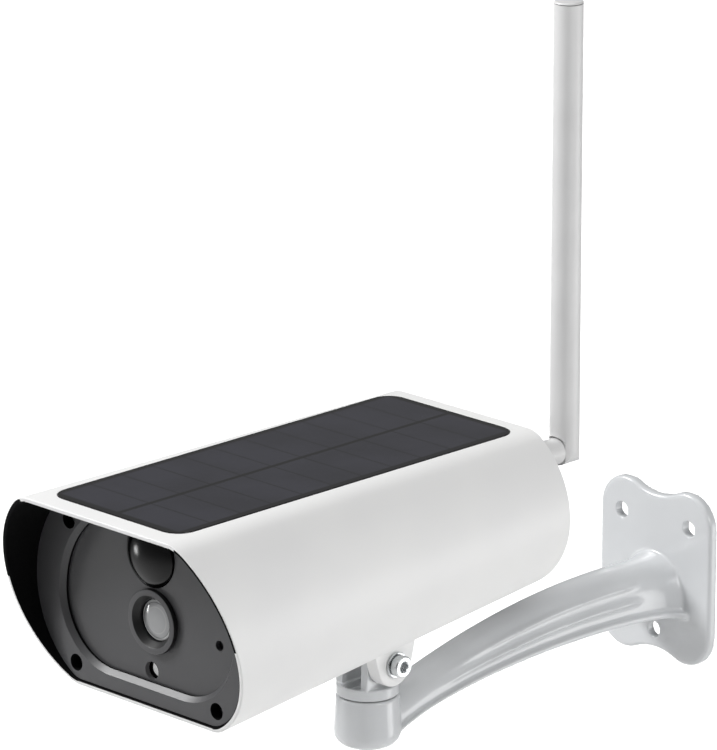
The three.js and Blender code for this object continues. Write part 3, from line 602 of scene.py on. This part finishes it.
on_finger = add(tree, "Math", {0: to_finger.outputs[0], 1: FINGER_HALF * MM}, operation="LESS_THAN")
finger = add(tree, "Math", {0: on_finger.outputs[0], 1: FINGER_SHOWS}, operation="MULTIPLY")
tint = add(tree, "TexNoise", {"Vector": place, "Scale": 1 / (25 * MM), "Detail": 2.0})
cell = add(tree, "ValToRGB", {"Fac": tint.outputs["Fac"]},
    stops=[(0.35, "#212128"), (0.65, "#282830")])
lined = add(tree, "Mix", {0: finger.outputs[0], 6: cell.outputs["Color"], 7: hex_colour("#505058")},
    data_type="RGBA")
add(tree, "Mix", {0: blank, 6: lined.outputs[2], 7: hex_colour("#0A0A0C")}, {2: "Base Color"},
    data_type="RGBA")
ripple = add(tree, "TexNoise", {"Vector": place, "Scale": 1 / (18 * MM), "Detail": 1.0})
add(tree, "Bump", {"Height": ripple.outputs["Fac"], "Distance": 0.03 * MM}, {"Normal": "Normal"})
fit(panel, "head", solar, ["solar_glass"])

# ---- Front bezel and window ---------------------------------------------------------------------------
# The bezel closes the tube's mouth inside the hood, and the window sits in its bevelled opening. Both are
# moulded in dark grey ABS with a fine satin texture. Four screws in deep wells hold the bezel.
BEZEL_FRONT, BEZEL_BACK, BEZEL_GAP, BEZEL_EDGE = -2.3, 5.0, 0.3, 0.35
WINDOW_LIP, WINDOW_THICK, WINDOW_BEVEL, WINDOW_LEDGE = -0.3, 2.0, 3.8, 3.0
WINDOW_SIDE, WINDOW_Z, WINDOW_LOW_R, WINDOW_HIGH_R = 45.6, -1.0, 25.9, 38.7
SCREW_WELLS = [(sign * x, z) for x, z in ((38.3, -28.3), (41.5, 27.5)) for sign in (1, -1)]
WELL_R, WELL_FLOOR, PILOT_R = 3.3, 3.2, 1.8
PIR_Z, PIR_R, PIR_RISE = 23.1, 13.0, 4.2
LENS_X, LENS_Z, LENS_R, LENS_BACK_R = 2.0, -2.6, 12.6, 9.2
LIGHT_Z, LIGHT_R, LIGHT_DEEP = -22.8, 3.5, 4.2
MIC_X, MIC_Z, MIC_R = 36.8, -3.8, 2.0


def window_outline(grow):
    """Nearly round above, with a flat sill below."""
    half = arc(WINDOW_SIDE - WINDOW_HIGH_R, WINDOW_Z, WINDOW_HIGH_R + grow, 90, 0, 36)
    half += arc(WINDOW_SIDE - WINDOW_LOW_R, WINDOW_Z, WINDOW_LOW_R + grow, 0, -90, 28)[1:]
    return mirror_half(half)


def head_ring(outline, y):
    """An outline in the head's own X and Z, stood at y behind the window's face."""
    return [(x, y + HEAD_Y, z + HEAD_Z) for x, z in outline]


def head_prism(name, outline, low, high):
    """An outline in the head's X and Z with straight sides from low to high behind the window's face."""
    return loft(name, [head_ring(outline, low), head_ring(outline, high)])


def head_turned(name, profile, x, z, sides=64, closed=False):
    """A lathe piece about a line of sight of the head. Its places count from the window's face."""
    return turned(name, profile, "Y", (x, HEAD_Y, z + HEAD_Z), sides, closed)


def bore(x, z, r, low, high, sides=40):
    """A round cutter along the head."""
    return head_turned("bore", [(0, low), (r, low), (r, high), (0, high)], x, z, sides)


bezel_rings = []
for inset, y in ((BEZEL_EDGE, BEZEL_FRONT), (0.1, BEZEL_FRONT + 0.1), (0, BEZEL_FRONT + BEZEL_EDGE),
                 (0, BEZEL_BACK)):
    bezel_rings.append([on_tube(x, z, y) for x, z in tube_outline(BODY_WALL + BEZEL_GAP + inset)])
bezel = loft("front_bezel_moulding", bezel_rings)
opening = loft("opening", [
    head_ring(window_outline(WINDOW_BEVEL), BEZEL_FRONT - (WINDOW_LIP - BEZEL_FRONT)),
    head_ring(window_outline(0), WINDOW_LIP),
    head_ring(window_outline(0), WINDOW_LIP + 0.01),
])
ledge_outline = window_outline(WINDOW_LEDGE + BEZEL_GAP)
combine(bezel, [
    opening,
    head_prism("throat", window_outline(0), WINDOW_LIP - 0.4, FAR),
    head_prism("ledge", ledge_outline, WINDOW_FACE - BEZEL_GAP, FAR),
    *[bore(x, z, WELL_R, -FAR, WELL_FLOOR) for x, z in SCREW_WELLS],
    *[bore(x, z, PILOT_R, 0, FAR, 24) for x, z in SCREW_WELLS],
], "DIFFERENCE")
soften(bezel, 0.18)

# Dark grey ABS from a finely textured mould: an even satin with a grain of about 0.3 mm.
grey_abs, tree, place = new_material("dark_grey_textured_abs", Roughness=0.42, IOR=1.53)
grain = add(tree, "TexNoise", {"Vector": place, "Scale": 1 / (0.3 * MM), "Detail": 2.0})
drift = add(tree, "TexNoise", {"Vector": place, "Scale": 1 / (30 * MM), "Detail": 2.0})
add(tree, "ValToRGB", {"Fac": drift.outputs["Fac"]}, {"Color": "Base Color"},
    stops=[(0.3, "#424244"), (0.7, "#474749")])
add(tree, "MapRange", {"Value": grain.outputs["Fac"], "To Min": 0.36, "To Max": 0.48},
    {"Result": "Roughness"})
add(tree, "Bump", {"Height": grain.outputs["Fac"], "Distance": 0.012 * MM}, {"Normal": "Normal"})
fit(bezel, "head", grey_abs, ["front_bezel"])
# Painted shadow: the upright wall of the window's opening is grey ABS, but takes the black lacquer so that it
# reads as a dark gap in shade.
bezel.data.materials.append(black_lacquer_and_painted_shadow)
painted_shadow_side = (WINDOW_SIDE + 1.4) * MM
for face in bezel.data.polygons:
    depth = face.center.y / MM - HEAD_Y
    painted_shadow_wall = abs(face.normal.y) < 0.3 and abs(face.center.x) < painted_shadow_side
    if painted_shadow_wall and WINDOW_LIP < depth < WINDOW_FACE + 1:
        face.material_index = 1

window_high = WINDOW_FACE + WINDOW_THICK
window = head_prism("front_window_moulding", window_outline(WINDOW_LEDGE - 0.1), WINDOW_FACE, window_high)
combine(window, [
    bore(0, PIR_Z, PIR_R, -FAR, FAR, 96),
    bore(LENS_X, LENS_Z, LENS_BACK_R + BEZEL_GAP, -FAR, FAR, 64),
    bore(0, LIGHT_Z, LIGHT_R, -FAR, FAR, 48),
    bore(MIC_X, MIC_Z, MIC_R, -FAR, FAR, 40),
], "DIFFERENCE")
soften(window, 0.12)
fit(window, "head", grey_abs, ["front_window"])

# ---- Screws of the bezel and the rear cover -----------------------------------------------------------
# Small pan-head screws with a cross recess, black oxide on steel: dark, with metal showing where the
# driver has rubbed.
black_oxide, tree, place = new_material("black_oxide_on_steel", Metallic=0.6, Roughness=0.45)
rub = add(tree, "TexNoise", {"Vector": place, "Scale": 1 / (0.7 * MM), "Detail": 4.0})
add(tree, "ValToRGB", {"Fac": rub.outputs["Fac"]}, {"Color": "Base Color"},
    stops=[(0.5, "#17171A"), (0.75, "#3A3A3D")])
add(tree, "Bump", {"Height": rub.outputs["Fac"], "Distance": 0.01 * MM}, {"Normal": "Normal"})


SCREW_LONG, SHANK_R, CROSS_HALF, CROSS_WIDE = 9, 1.45, 1.5, 0.3


def cross_screw(name, x, z, seat, out, long):
    """A pan-head cross screw whose head stands on seat. out is -1 towards the front and 1 to the rear."""
    head = [(2.65, 0), (2.6, 0.9), (2.1, 1.6), (1.1, 1.95), (0, 2.0)]
    profile = [(0, seat - out * long), (SHANK_R, seat - out * long), (SHANK_R, seat)]
    screw = head_turned(name, profile + [(r, seat + out * tall) for r, tall in head], x, z, 40)
    bars = [rectangle(CROSS_HALF, CROSS_WIDE), rectangle(CROSS_WIDE, CROSS_HALF)]
    low, high = sorted((seat + out * 0.8, seat + out * 3))
    cutters = [head_prism("cross", [(x + u, z + v) for u, v in bar], low, high) for bar in bars]
    return combine(screw, cutters, "DIFFERENCE")


for number, (x, z) in enumerate(SCREW_WELLS, 1):
    screw = cross_screw(f"bezel_screw_{number}", x, z, WELL_FLOOR - 0.3, -1, SCREW_LONG)
    fit(screw, "head", black_oxide, [f"front_screw_{number}"])

# ---- Motion sensor dome -------------------------------------------------------------------------------
# A polished black dome of infrared-clear polyethylene, pushed through the window from behind and held by
# its flange. It looks like black glass, and a thin gap runs all round it.
DOME_WALL, DOME_SUNK, DOME_FLANGE = 1.0, 0.5, 2.0
rim, dome_from = PIR_R - 0.4, WINDOW_FACE + DOME_SUNK
dome_back = dome_from + 2.8
flange_r, flange_from = rim + DOME_FLANGE, dome_back - DOME_WALL
dome_tall = PIR_RISE + DOME_SUNK
dome_profile = [(rim * math.cos(a), dome_from - dome_tall * math.sin(a))
                for a in map(math.radians, spread(90, 0, 18))]
dome_profile += [(rim, flange_from), (flange_r, flange_from), (flange_r, dome_back),
                 (rim - DOME_WALL, dome_back)]
dome_profile += [((rim - DOME_WALL) * math.cos(a), dome_from - (dome_tall - DOME_WALL) * math.sin(a))
                 for a in map(math.radians, spread(0, 90, 15))]
dome = head_turned("motion_sensor_dome", dome_profile, 0, PIR_Z, 96)

# Polished black polyethylene: no colour of its own but a deep gloss, faintly smeared in patches of 4 mm.
polished_black, tree, place = new_material(
    "polished_black_infrared_dome", Roughness=0.15, IOR=1.5, Specular_IOR_Level=0.3)
haze = add(tree, "TexNoise", {"Vector": place, "Scale": 1 / (4 * MM), "Detail": 4.0})
add(tree, "ValToRGB", {"Fac": haze.outputs["Fac"]}, {"Color": "Base Color"},
    stops=[(0.3, "#020203"), (0.7, "#050506")])
add(tree, "MapRange", {"Value": haze.outputs["Fac"], "To Min": 0.12, "To Max": 0.19},
    {"Result": "Roughness"})
fit(dome, "head", polished_black, ["pir_lens"])

# ---- Lens ---------------------------------------------------------------------------------------------
# A grey ring stands out of the window round a dark cone, and the lens's cover glass lies at the cone's
# foot. The glass has a coating and a polished edge. Its colour is painted reflection: a pale grey with a
# faint ring where the lens behind it ends, and a painted highlight on the edge.
LENS_FRONT, LENS_MOUTH, LENS_THROAT, LENS_BACK = WINDOW_FACE - 2.2, 10.1, 8.3, 4.9
GLASS_Y, GLASS_R, GLASS_DOMED, GLASS_THICK = WINDOW_FACE + 0.6, 8.0, 0.9, 2
ring_seat = WINDOW_FACE - BEZEL_GAP
ring_profile = [
    (LENS_MOUTH + 0.15, LENS_FRONT), (LENS_R - 0.5, LENS_FRONT), (LENS_R - 0.15, LENS_FRONT + 0.15),
    (LENS_R, LENS_FRONT + 0.5), (LENS_R, ring_seat), (LENS_BACK_R, ring_seat), (LENS_BACK_R, LENS_BACK),
    (LENS_THROAT, LENS_BACK), (LENS_THROAT, GLASS_Y - 0.3), (LENS_MOUTH - 0.1, LENS_FRONT + 0.2),
]
lens_ring = head_turned("lens_ring_moulding", ring_profile, LENS_X, LENS_Z, 96, closed=True)
fit(lens_ring, "head", grey_abs, ["lens_ring"], crease=28)

# Matt black paint in the cone, finely ridged so that it throws nothing into the lens. The ring's outer side
# wall takes it too, as painted shade.
cone_black_and_painted_shade, tree, place = new_material("matt_black_lens_cone_and_painted_shade", Roughness=0.5, IOR=1.5)
ridge = add(tree, "TexNoise", {"Vector": place, "Scale": 1 / (0.25 * MM), "Detail": 2.0})
add(tree, "ValToRGB", {"Fac": ridge.outputs["Fac"]}, {"Color": "Base Color"},
    stops=[(0.3, "#0B0B0C"), (0.7, "#161618")])
add(tree, "Bump", {"Height": ridge.outputs["Fac"], "Distance": 0.015 * MM}, {"Normal": "Normal"})
lens_ring.data.materials.append(cone_black_and_painted_shade)
lens_axis = Vector((LENS_X, 0, LENS_Z + HEAD_Z)) * MM
for face in lens_ring.data.polygons:
    out = Vector((face.center.x - lens_axis.x, 0, face.center.z - lens_axis.z))
    facing = face.normal.dot(out) / out.length
    # Faces turned to the axis are the black cone; faces turned outwards are the ring's side wall, painted
    # black as shade.
    if facing < -0.2 or facing > 0.9:
        face.material_index = 1

glass_profile = [(GLASS_R * math.sin(a), GLASS_Y + GLASS_DOMED - GLASS_DOMED * math.cos(a))
                 for a in map(math.radians, spread(0, 90, 16))]
glass_profile += [(GLASS_R, GLASS_Y + GLASS_THICK), (0, GLASS_Y + GLASS_THICK)]
glass = head_turned("lens_cover_glass", glass_profile, LENS_X, LENS_Z, 96)

# Coated glass with painted reflection: a pale grey for what it reflects, the lens's ring showing through, a
# dark line and then a painted highlight on the polished edge.
painted_reflection_glass, tree, place = new_material(
    "lens_glass_painted_reflection", Roughness=0.12, IOR=1.52, Coat_Weight=0.6, Coat_Roughness=0.06)
from_axis = add(tree, "VectorMath", {0: place, 1: lens_axis}, operation="SUBTRACT")
flat = add(tree, "VectorMath", {0: from_axis.outputs["Vector"], 1: (1, 0, 1)}, operation="MULTIPLY")
radius = add(tree, "VectorMath", {0: flat.outputs["Vector"]}, operation="LENGTH").outputs["Value"]
share = add(tree, "Math", {0: radius, 1: GLASS_R * MM}, operation="DIVIDE").outputs["Value"]
# Painted reflection and highlight: the pale grey and the bright outer stops stand in for light off the glass.
add(tree, "ValToRGB", {"Fac": share}, {"Color": "Base Color"},
    stops=[(0.0, "#9D9E9F"), (0.60, "#9A9B9C"), (0.64, "#A8A9A9"), (0.68, "#9A9B9C"), (0.84, "#969798"),
           (0.87, "#6E6F70"), (0.91, "#C4C5C5"), (1.0, "#CCCDCD")])
fit(glass, "head", painted_reflection_glass, ["lens_glass"])

# ---- Status light and microphone ----------------------------------------------------------------------
# The status light shows at the bottom of a short hole through a frosted polycarbonate guide. The
# microphone is a black felt disc behind a smaller hole.
guide_r, guide_stem_r, guide_back = LIGHT_R - 0.4, 2, 13.7
guide = head_turned("status_light_window", [
    (0, LIGHT_DEEP), (guide_r - 0.3, LIGHT_DEEP), (guide_r, LIGHT_DEEP + 0.3), (guide_r, 6),
    (guide_stem_r, 7), (guide_stem_r, guide_back), (0, guide_back),
], 0, LIGHT_Z, 48)

# Frosted polycarbonate: milky white with a fine grain, and a faint painted glow in place of light on the
# floor of its hole.
painted_glow_polycarbonate, tree, place = new_material(
    "frosted_polycarbonate_painted_glow", Roughness=0.35, IOR=1.58,
    Emission_Color=hex_colour("#FFFFFF"), Emission_Strength=0.3)
frost = add(tree, "TexNoise", {"Vector": place, "Scale": 1 / (0.4 * MM), "Detail": 2.0})
add(tree, "ValToRGB", {"Fac": frost.outputs["Fac"]}, {"Color": "Base Color"},
    stops=[(0.3, "#E4E6E6"), (0.7, "#F0F2F2")])
add(tree, "Bump", {"Height": frost.outputs["Fac"], "Distance": 0.02 * MM}, {"Normal": "Normal"})
fit(guide, "head", painted_glow_polycarbonate, ["status_light_guide"])

# Black silicone rubber: matt, with a little dust on it. The felt is as dull and takes the same finish.
silicone, tree, place = new_material("black_silicone_rubber", Roughness=0.6, IOR=1.41)
dust = add(tree, "TexNoise", {"Vector": place, "Scale": 1 / (1.2 * MM), "Detail": 5.0})
add(tree, "ValToRGB", {"Fac": dust.outputs["Fac"]}, {"Color": "Base Color"},
    stops=[(0.4, "#101012"), (0.75, "#1D1D1F")])
add(tree, "Bump", {"Height": dust.outputs["Fac"], "Distance": 0.03 * MM}, {"Normal": "Normal"})
felt_from, felt_back, felt_r = 3.2, 6, 3
felt = head_turned("microphone_felt", [
    (0, felt_from), (felt_r - 0.2, felt_from), (felt_r, felt_from + 0.2), (felt_r, felt_back), (0, felt_back),
], MIC_X, MIC_Z, 40)
fit(felt, "head", silicone, ["microphone"])

# ---- Rear cover, button and port plug -----------------------------------------------------------------
# The tube's back is closed by a cover in the same dark ABS, set in by a little over a millimetre. It has
# a speaker grille, a rubber power button and a rubber plug over the charging socket, and four screws.
COVER_FROM, COVER_TO, COVER_GAP = 163.5, 167.0, 0.4
REAR_SCREWS = [(sign * x, z) for x, z in ((24.0, 34.0), (38.0, -9.0)) for sign in (1, -1)]
REAR_WELL_R, REAR_WELL_DEEP = 3.1, 1.2
SPEAKER_X, SPEAKER_Z, GRILLE_R, GRILLE_HOLE_R = -18.0, 12.0, 5.0, 1.1
PORT_X, PORT_Z, PORT_HALF, PORT_TALL_HALF, PORT_CORNER = 20.0, -4.0, 8.0, 4.0, 3.0
BUTTON_R, BUTTON_Z = 4.0, -4.0
ANTENNA_X, ANTENNA_Y, ANTENNA_Z, STUB_R, STUB_NECK_R = 38.5, 180.0, 31.9, 5.2, 3.0

cover_rings = []
for inset, y in ((0, COVER_FROM), (0, COVER_TO - 0.4), (0.12, COVER_TO - 0.12), (0.4, COVER_TO)):
    cover_rings.append([on_tube(x, z, y) for x, z in tube_outline(BODY_WALL + COVER_GAP + inset)])
cover = loft("rear_cover_moulding", cover_rings)
grille = [(SPEAKER_X, SPEAKER_Z), *arc(SPEAKER_X, SPEAKER_Z, GRILLE_R, 0, 300, 5)]


def port_outline(gap):
    """The charging port's rounded outline, drawn in by a gap."""
    low, high = PORT_Z - PORT_TALL_HALF + gap, PORT_Z + PORT_TALL_HALF - gap
    return [(x + PORT_X, z) for x, z in rounded_rect(PORT_HALF - gap, low, high, PORT_CORNER - gap)]


combine(cover, [
    *[bore(x, z, GRILLE_HOLE_R, COVER_FROM - FAR, COVER_TO + FAR, 24) for x, z in grille],
    head_prism("port", port_outline(0), COVER_FROM - FAR, COVER_TO + FAR),
    bore(0, BUTTON_Z, BUTTON_R + 0.3, COVER_FROM - FAR, COVER_TO + FAR, 48),
    bore(ANTENNA_X, ANTENNA_Z, STUB_NECK_R + COVER_GAP, COVER_FROM - FAR, COVER_TO + FAR),
    *[bore(x, z, PILOT_R, COVER_FROM - FAR, COVER_TO + FAR, 24) for x, z in REAR_SCREWS],
    *[bore(x, z, REAR_WELL_R, COVER_TO - REAR_WELL_DEEP, COVER_TO + FAR) for x, z in REAR_SCREWS],
], "DIFFERENCE")
soften(cover, 0.15)
fit(cover, "head", grey_abs, ["rear_cover"])
for number, (x, z) in enumerate(REAR_SCREWS, 1):
    screw = cross_screw(f"cover_screw_{number}", x, z, COVER_TO - 0.9, 1, SCREW_LONG)
    fit(screw, "head", black_oxide, [f"rear_screw_{number}"])
plug = soften(head_prism("charging_port_plug", port_outline(0.3), COVER_FROM, COVER_TO + 1), 0.4)
fit(plug, "head", silicone, ["port_plug"])
button_from, button_flange_r, button_flange = 163, 5.4, 0.2
button_face = button_from + 5
cap = head_turned("power_button_cap", [
    (0, button_from), (button_flange_r, button_from), (button_flange_r, button_from + button_flange),
    (BUTTON_R, button_from + button_flange), (BUTTON_R, button_face - 0.4), (BUTTON_R - 0.15, button_face),
    (BUTTON_R - 0.6, button_face + 0.2), (1.6, button_face), (0, button_face - 0.1),
], 0, BUTTON_Z, 56)
fit(cap, "button", silicone, ["power_button"])

# ---- Antenna ------------------------------------------------------------------------------------------
# A white stub comes out of the rear cover, and the antenna's foot lies flat behind its end, held by a
# screw it turns about. The sleeve is a slim tapered tube of white ABS with a glued cap.

# White ABS: a soft even sheen with a fine moulded grain and hardly any drift in tone.
white_abs, tree, place = new_material("white_satin_abs", Roughness=0.38, IOR=1.53)
drift = add(tree, "TexNoise", {"Vector": place, "Scale": 1 / (20 * MM), "Detail": 2.0})
add(tree, "ValToRGB", {"Fac": drift.outputs["Fac"]}, {"Color": "Base Color"},
    stops=[(0.3, "#D2D2D2"), (0.7, "#D8D8D8")])
grain = add(tree, "TexNoise", {"Vector": place, "Scale": 1 / (0.5 * MM), "Detail": 2.0})
add(tree, "Bump", {"Height": grain.outputs["Fac"], "Distance": 0.008 * MM}, {"Normal": "Normal"})

COLLAR_R, COLLAR_LONG = STUB_R + 1, 2.7
stub_neck, stub_from = COVER_FROM - 5, COVER_TO + 0.3
stub = head_turned("antenna_stub_moulding", [
    (0, stub_neck), (STUB_NECK_R, stub_neck), (STUB_NECK_R, stub_from), (COLLAR_R, stub_from),
    (COLLAR_R, stub_from + COLLAR_LONG), (COLLAR_R - 0.3, stub_from + COLLAR_LONG + 0.4),
    (STUB_R, stub_from + COLLAR_LONG + 1.3), (STUB_R, ANTENNA_Y - 0.5), (STUB_R - 0.5, ANTENNA_Y),
    (0, ANTENNA_Y),
], ANTENNA_X, ANTENNA_Z, 72)
combine(stub, [bore(ANTENNA_X, ANTENNA_Z, PILOT_R, ANTENNA_Y - 8, ANTENNA_Y + FAR, 32)], "DIFFERENCE")
fit(stub, "head", white_abs, ["antenna_stub"])

SLEEVE_LOW_R, SLEEVE_TOP_R, SLEEVE_TALL, SLEEVE_BACK = 5.95, 5.7, 177.0, 4.3
SLEEVE_BORE_R, SLEEVE_BORE_FROM, LAP_GAP = 3.2, 14, 0.3
foot_at = (ANTENNA_X, ANTENNA_Y + HEAD_Y, ANTENNA_Z + HEAD_Z)
tube_at = (foot_at[0], foot_at[1] + SLEEVE_BACK, foot_at[2])

sleeve = turned("antenna_sleeve_moulding", [
    (0, 0), (SLEEVE_LOW_R, 0), (SLEEVE_TOP_R, SLEEVE_TALL), (0, SLEEVE_TALL)], "Z", tube_at, 72)
ear_back = SLEEVE_BACK + SLEEVE_LOW_R
ear = rod("Y", SLEEVE_LOW_R, LAP_GAP, ear_back, foot_at, 72)
combine(ear, [rod("Z", SLEEVE_LOW_R - 0.001, -SLEEVE_LOW_R - 1, SLEEVE_LOW_R, tube_at, 72)], "INTERSECT")
combine(sleeve, [ear], "UNION")
lap = [(foot_at[0] + x, foot_at[2] + z) for x, z in ((-10, -10), (10, -10), (10, 0), (-10, 0))]
combine(sleeve, [
    rod("Y", STUB_R + 0.9, -FAR, LAP_GAP, foot_at, 72),
    prism("lap", lap, "Y", foot_at[1] - FAR, foot_at[1] + LAP_GAP),
    rod("Y", PILOT_R, -FAR, FAR, foot_at, 40),
    rod("Y", REAR_WELL_R, ear_back - 3, FAR, foot_at, 40),
    rod("Z", SLEEVE_BORE_R, SLEEVE_BORE_FROM, SLEEVE_TALL + FAR, tube_at, 40),
], "DIFFERENCE")
soften(sleeve, 0.25, 40)
fit(sleeve, "antenna", white_abs, ["antenna_sleeve"])

cap_r, plug_r, plug_low = SLEEVE_TOP_R, SLEEVE_BORE_R - 0.3, SLEEVE_TALL - 6
cap_low, cap_high = SLEEVE_TALL + 0.3, SLEEVE_TALL + 1.1
tip = turned("antenna_end_cap", [
    (0, plug_low), (plug_r, plug_low), (plug_r, cap_low), (cap_r - 0.15, cap_low), (cap_r, cap_low + 0.15),
    (cap_r - 0.15, cap_high - 0.3), (cap_r - 0.6, cap_high), (0, cap_high),
], "Z", tube_at, 72)
fit(tip, "antenna", white_abs, ["antenna_cap"])
pivot_seat, pivot_end = ANTENNA_Y + ear_back - 2.7, ANTENNA_Y - 7
pivot_head = pivot_seat + 1.8
pivot = head_turned("antenna_pivot", [
    (0, pivot_end), (SHANK_R, pivot_end), (SHANK_R, pivot_seat), (2.7, pivot_seat), (2.65, pivot_head - 0.4),
    (2.3, pivot_head), (0, pivot_head),
], ANTENNA_X, ANTENNA_Z, 48)
for bar in (rectangle(CROSS_HALF, CROSS_WIDE), rectangle(CROSS_WIDE, CROSS_HALF)):
    cross = [(x + ANTENNA_X, z + ANTENNA_Z) for x, z in bar]
    combine(pivot, [head_prism("cross", cross, pivot_head - 0.8, pivot_head + FAR)], "DIFFERENCE")
fit(pivot, "antenna", black_oxide, ["antenna_pivot_screw"])

# ---- Inside -------------------------------------------------------------------------------------------
# The chassis tray, boards, cells, lens barrel and sensors behind the window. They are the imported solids
# themselves, each in the finish of what it is.

# Black glass-filled nylon: satin, with short streaks where the fibres lie at the surface.
nylon, tree, place = new_material("black_glass_filled_nylon", Roughness=0.55, IOR=1.53)
fibre = add(tree, "TexNoise",
    {"Vector": place, "Scale": 1 / (0.8 * MM), "Detail": 4.0, "Distortion": 1.5})
add(tree, "ValToRGB", {"Fac": fibre.outputs["Fac"]}, {"Color": "Base Color"},
    stops=[(0.4, "#131315"), (0.7, "#1F1F22")])
add(tree, "Bump", {"Height": fibre.outputs["Fac"], "Distance": 0.02 * MM}, {"Normal": "Normal"})

# Green solder mask on copper: a thin gloss coat over the raised pattern of the tracks.
solder_mask, tree, place = new_material("green_solder_mask", Roughness=0.3, IOR=1.55, Coat_Weight=0.5)
tracks = add(tree, "TexVoronoi", {"Vector": place, "Scale": 1 / (3 * MM)}, distance="CHEBYCHEV")
add(tree, "ValToRGB", {"Fac": tracks.outputs["Distance"]}, {"Color": "Base Color"},
    stops=[(0.25, "#1B5636"), (0.3, "#2A7048"), (0.6, "#174A2E")])
track_height = {"Height": tracks.outputs["Distance"], "Distance": 0.03 * MM}
add(tree, "Bump", track_height, {"Normal": "Normal"})

# Blue PVC film shrunk round the cells: a soft gloss with long shallow wrinkles.
cell_film, tree, place = new_material("blue_shrink_film", Roughness=0.3, IOR=1.5)
wrinkle = add(tree, "TexNoise", {"Vector": place, "Scale": 1 / (6 * MM), "Detail": 3.0})
add(tree, "ValToRGB", {"Fac": wrinkle.outputs["Fac"]}, {"Color": "Base Color"},
    stops=[(0.3, "#27608F"), (0.7, "#3274AB")])
add(tree, "Bump", {"Height": wrinkle.outputs["Fac"], "Distance": 0.05 * MM}, {"Normal": "Normal"})

# Drawn brass wire: yellow metal, slightly uneven from the drawing die.
wire, tree, place = new_material("drawn_brass_wire", Metallic=1.0, Roughness=0.3)
draw = add(tree, "TexNoise", {"Vector": place, "Scale": 1 / (0.5 * MM), "Detail": 3.0})
add(tree, "ValToRGB", {"Fac": draw.outputs["Fac"]}, {"Color": "Base Color"},
    stops=[(0.3, "#B8944A"), (0.7, "#CFAE62")])

inside = {
    nylon: ["inner_chassis", "lens_barrel", "lens_mount", "image_sensor", "speaker", "solar_backsheet"],
    solder_mask: ["sensor_board", "main_board"],
    cell_film: [f"battery_cell_{number}" for number in (1, 2, 3, 4)],
    zinc: ["pir_sensor", "wifi_module", "memory_card_slot", "charging_port", "foot_screw_front",
           "foot_screw_rear"],
    silicone: ["front_gasket"],
    wire: ["antenna_element"],
}
for material, nodes in inside.items():
    for node in nodes:
        finishes = frame["nodes"][node].data.materials
        finishes.clear()
        finishes.append(material)

# ---- Studio -------------------------------------------------------------------------------------------
# A pale floor well below the camera, a dim even tent all round, and round soft boxes beside and above it.
# One of them lies low over the floor behind the camera, which keeps the background white. The view is from
# the right of the lens and a little above, through a long lens.
floor_z, FLOOR_HALF = -0.6, 9000
floor_corners = [(x, y, floor_z / MM) for x, y in rectangle(FLOOR_HALF, FLOOR_HALF)]
floor = mesh_piece("studio_floor", floor_corners, [range(4)])

# Matt white background paper, with a slow change in tone over the sheet.
paper, tree, place = new_material("white_background_paper", Roughness=0.9)
tooth = add(tree, "TexNoise", {"Vector": place, "Scale": 1 / (400 * MM), "Detail": 2.0})
add(tree, "ValToRGB", {"Fac": tooth.outputs["Fac"]}, {"Color": "Base Color"},
    stops=[(0.3, "#EEEEEE"), (0.7, "#F0F0F0")])
floor.data.materials.append(paper)

world = bpy.data.worlds.new("studio_tent")
world.use_nodes = True
bpy.context.scene.world = world
tent = world.node_tree.nodes["Background"].inputs
tent["Color"].default_value = hex_colour("#FFFFFF")
tent["Strength"].default_value = 0.22


def direction(azimuth, elevation):
    """Azimuth 0 is in front of the lens and 90 to its right, in degrees."""
    a, e = math.radians(azimuth), math.radians(elevation)
    return Vector((math.sin(a) * math.cos(e), -math.cos(a) * math.cos(e), math.sin(e)))


def place_at(thing, aim, away, distance):
    """Stands a light or a camera off its aim and turns it to face that."""
    thing.location = aim + away * distance
    thing.rotation_mode = "QUATERNION"
    thing.rotation_quaternion = away.to_track_quat("Z", "Y")
    bpy.context.scene.collection.objects.link(thing)


def soft_box(name, azimuth, elevation, distance, size, power, aim=Vector((0, -0.18, 0.08))):
    """A round area light that faces its aim."""
    data = bpy.data.lights.new(name, "AREA")
    data.shape = "DISK"
    data.size = size
    data.energy = power
    place_at(bpy.data.objects.new(name, data), aim, direction(azimuth, elevation), distance)


soft_box("left_key_box", -52, 36, 1.7, 0.7, 33)
soft_box("low_left_box", -55, -14, 1.2, 0.15, 0.7)
soft_box("right_box", 84, 18, 1.6, 0.7, 9)
soft_box("rear_right_box", 132, -12, 1.5, 0.7, 4)
soft_box("ceiling_box", 60, 75, 4, 4, 45)
soft_box("backdrop_box", 225, 89.9, 0.5, 2.9, 34, Vector((-1.9, 1.7, floor_z)))

camera_data = bpy.data.cameras.new("camera")
camera_data.lens = 290.94
camera_data.sensor_width = 36
camera_data.clip_end = 60
camera = bpy.data.objects.new("camera", camera_data)
place_at(camera, Vector((0.008903, -0.182772, 0.123571)), direction(45.0247, 16.9457), 2.3)
bpy.context.scene.camera = camera
bpy.context.scene.view_settings.view_transform = "Standard"
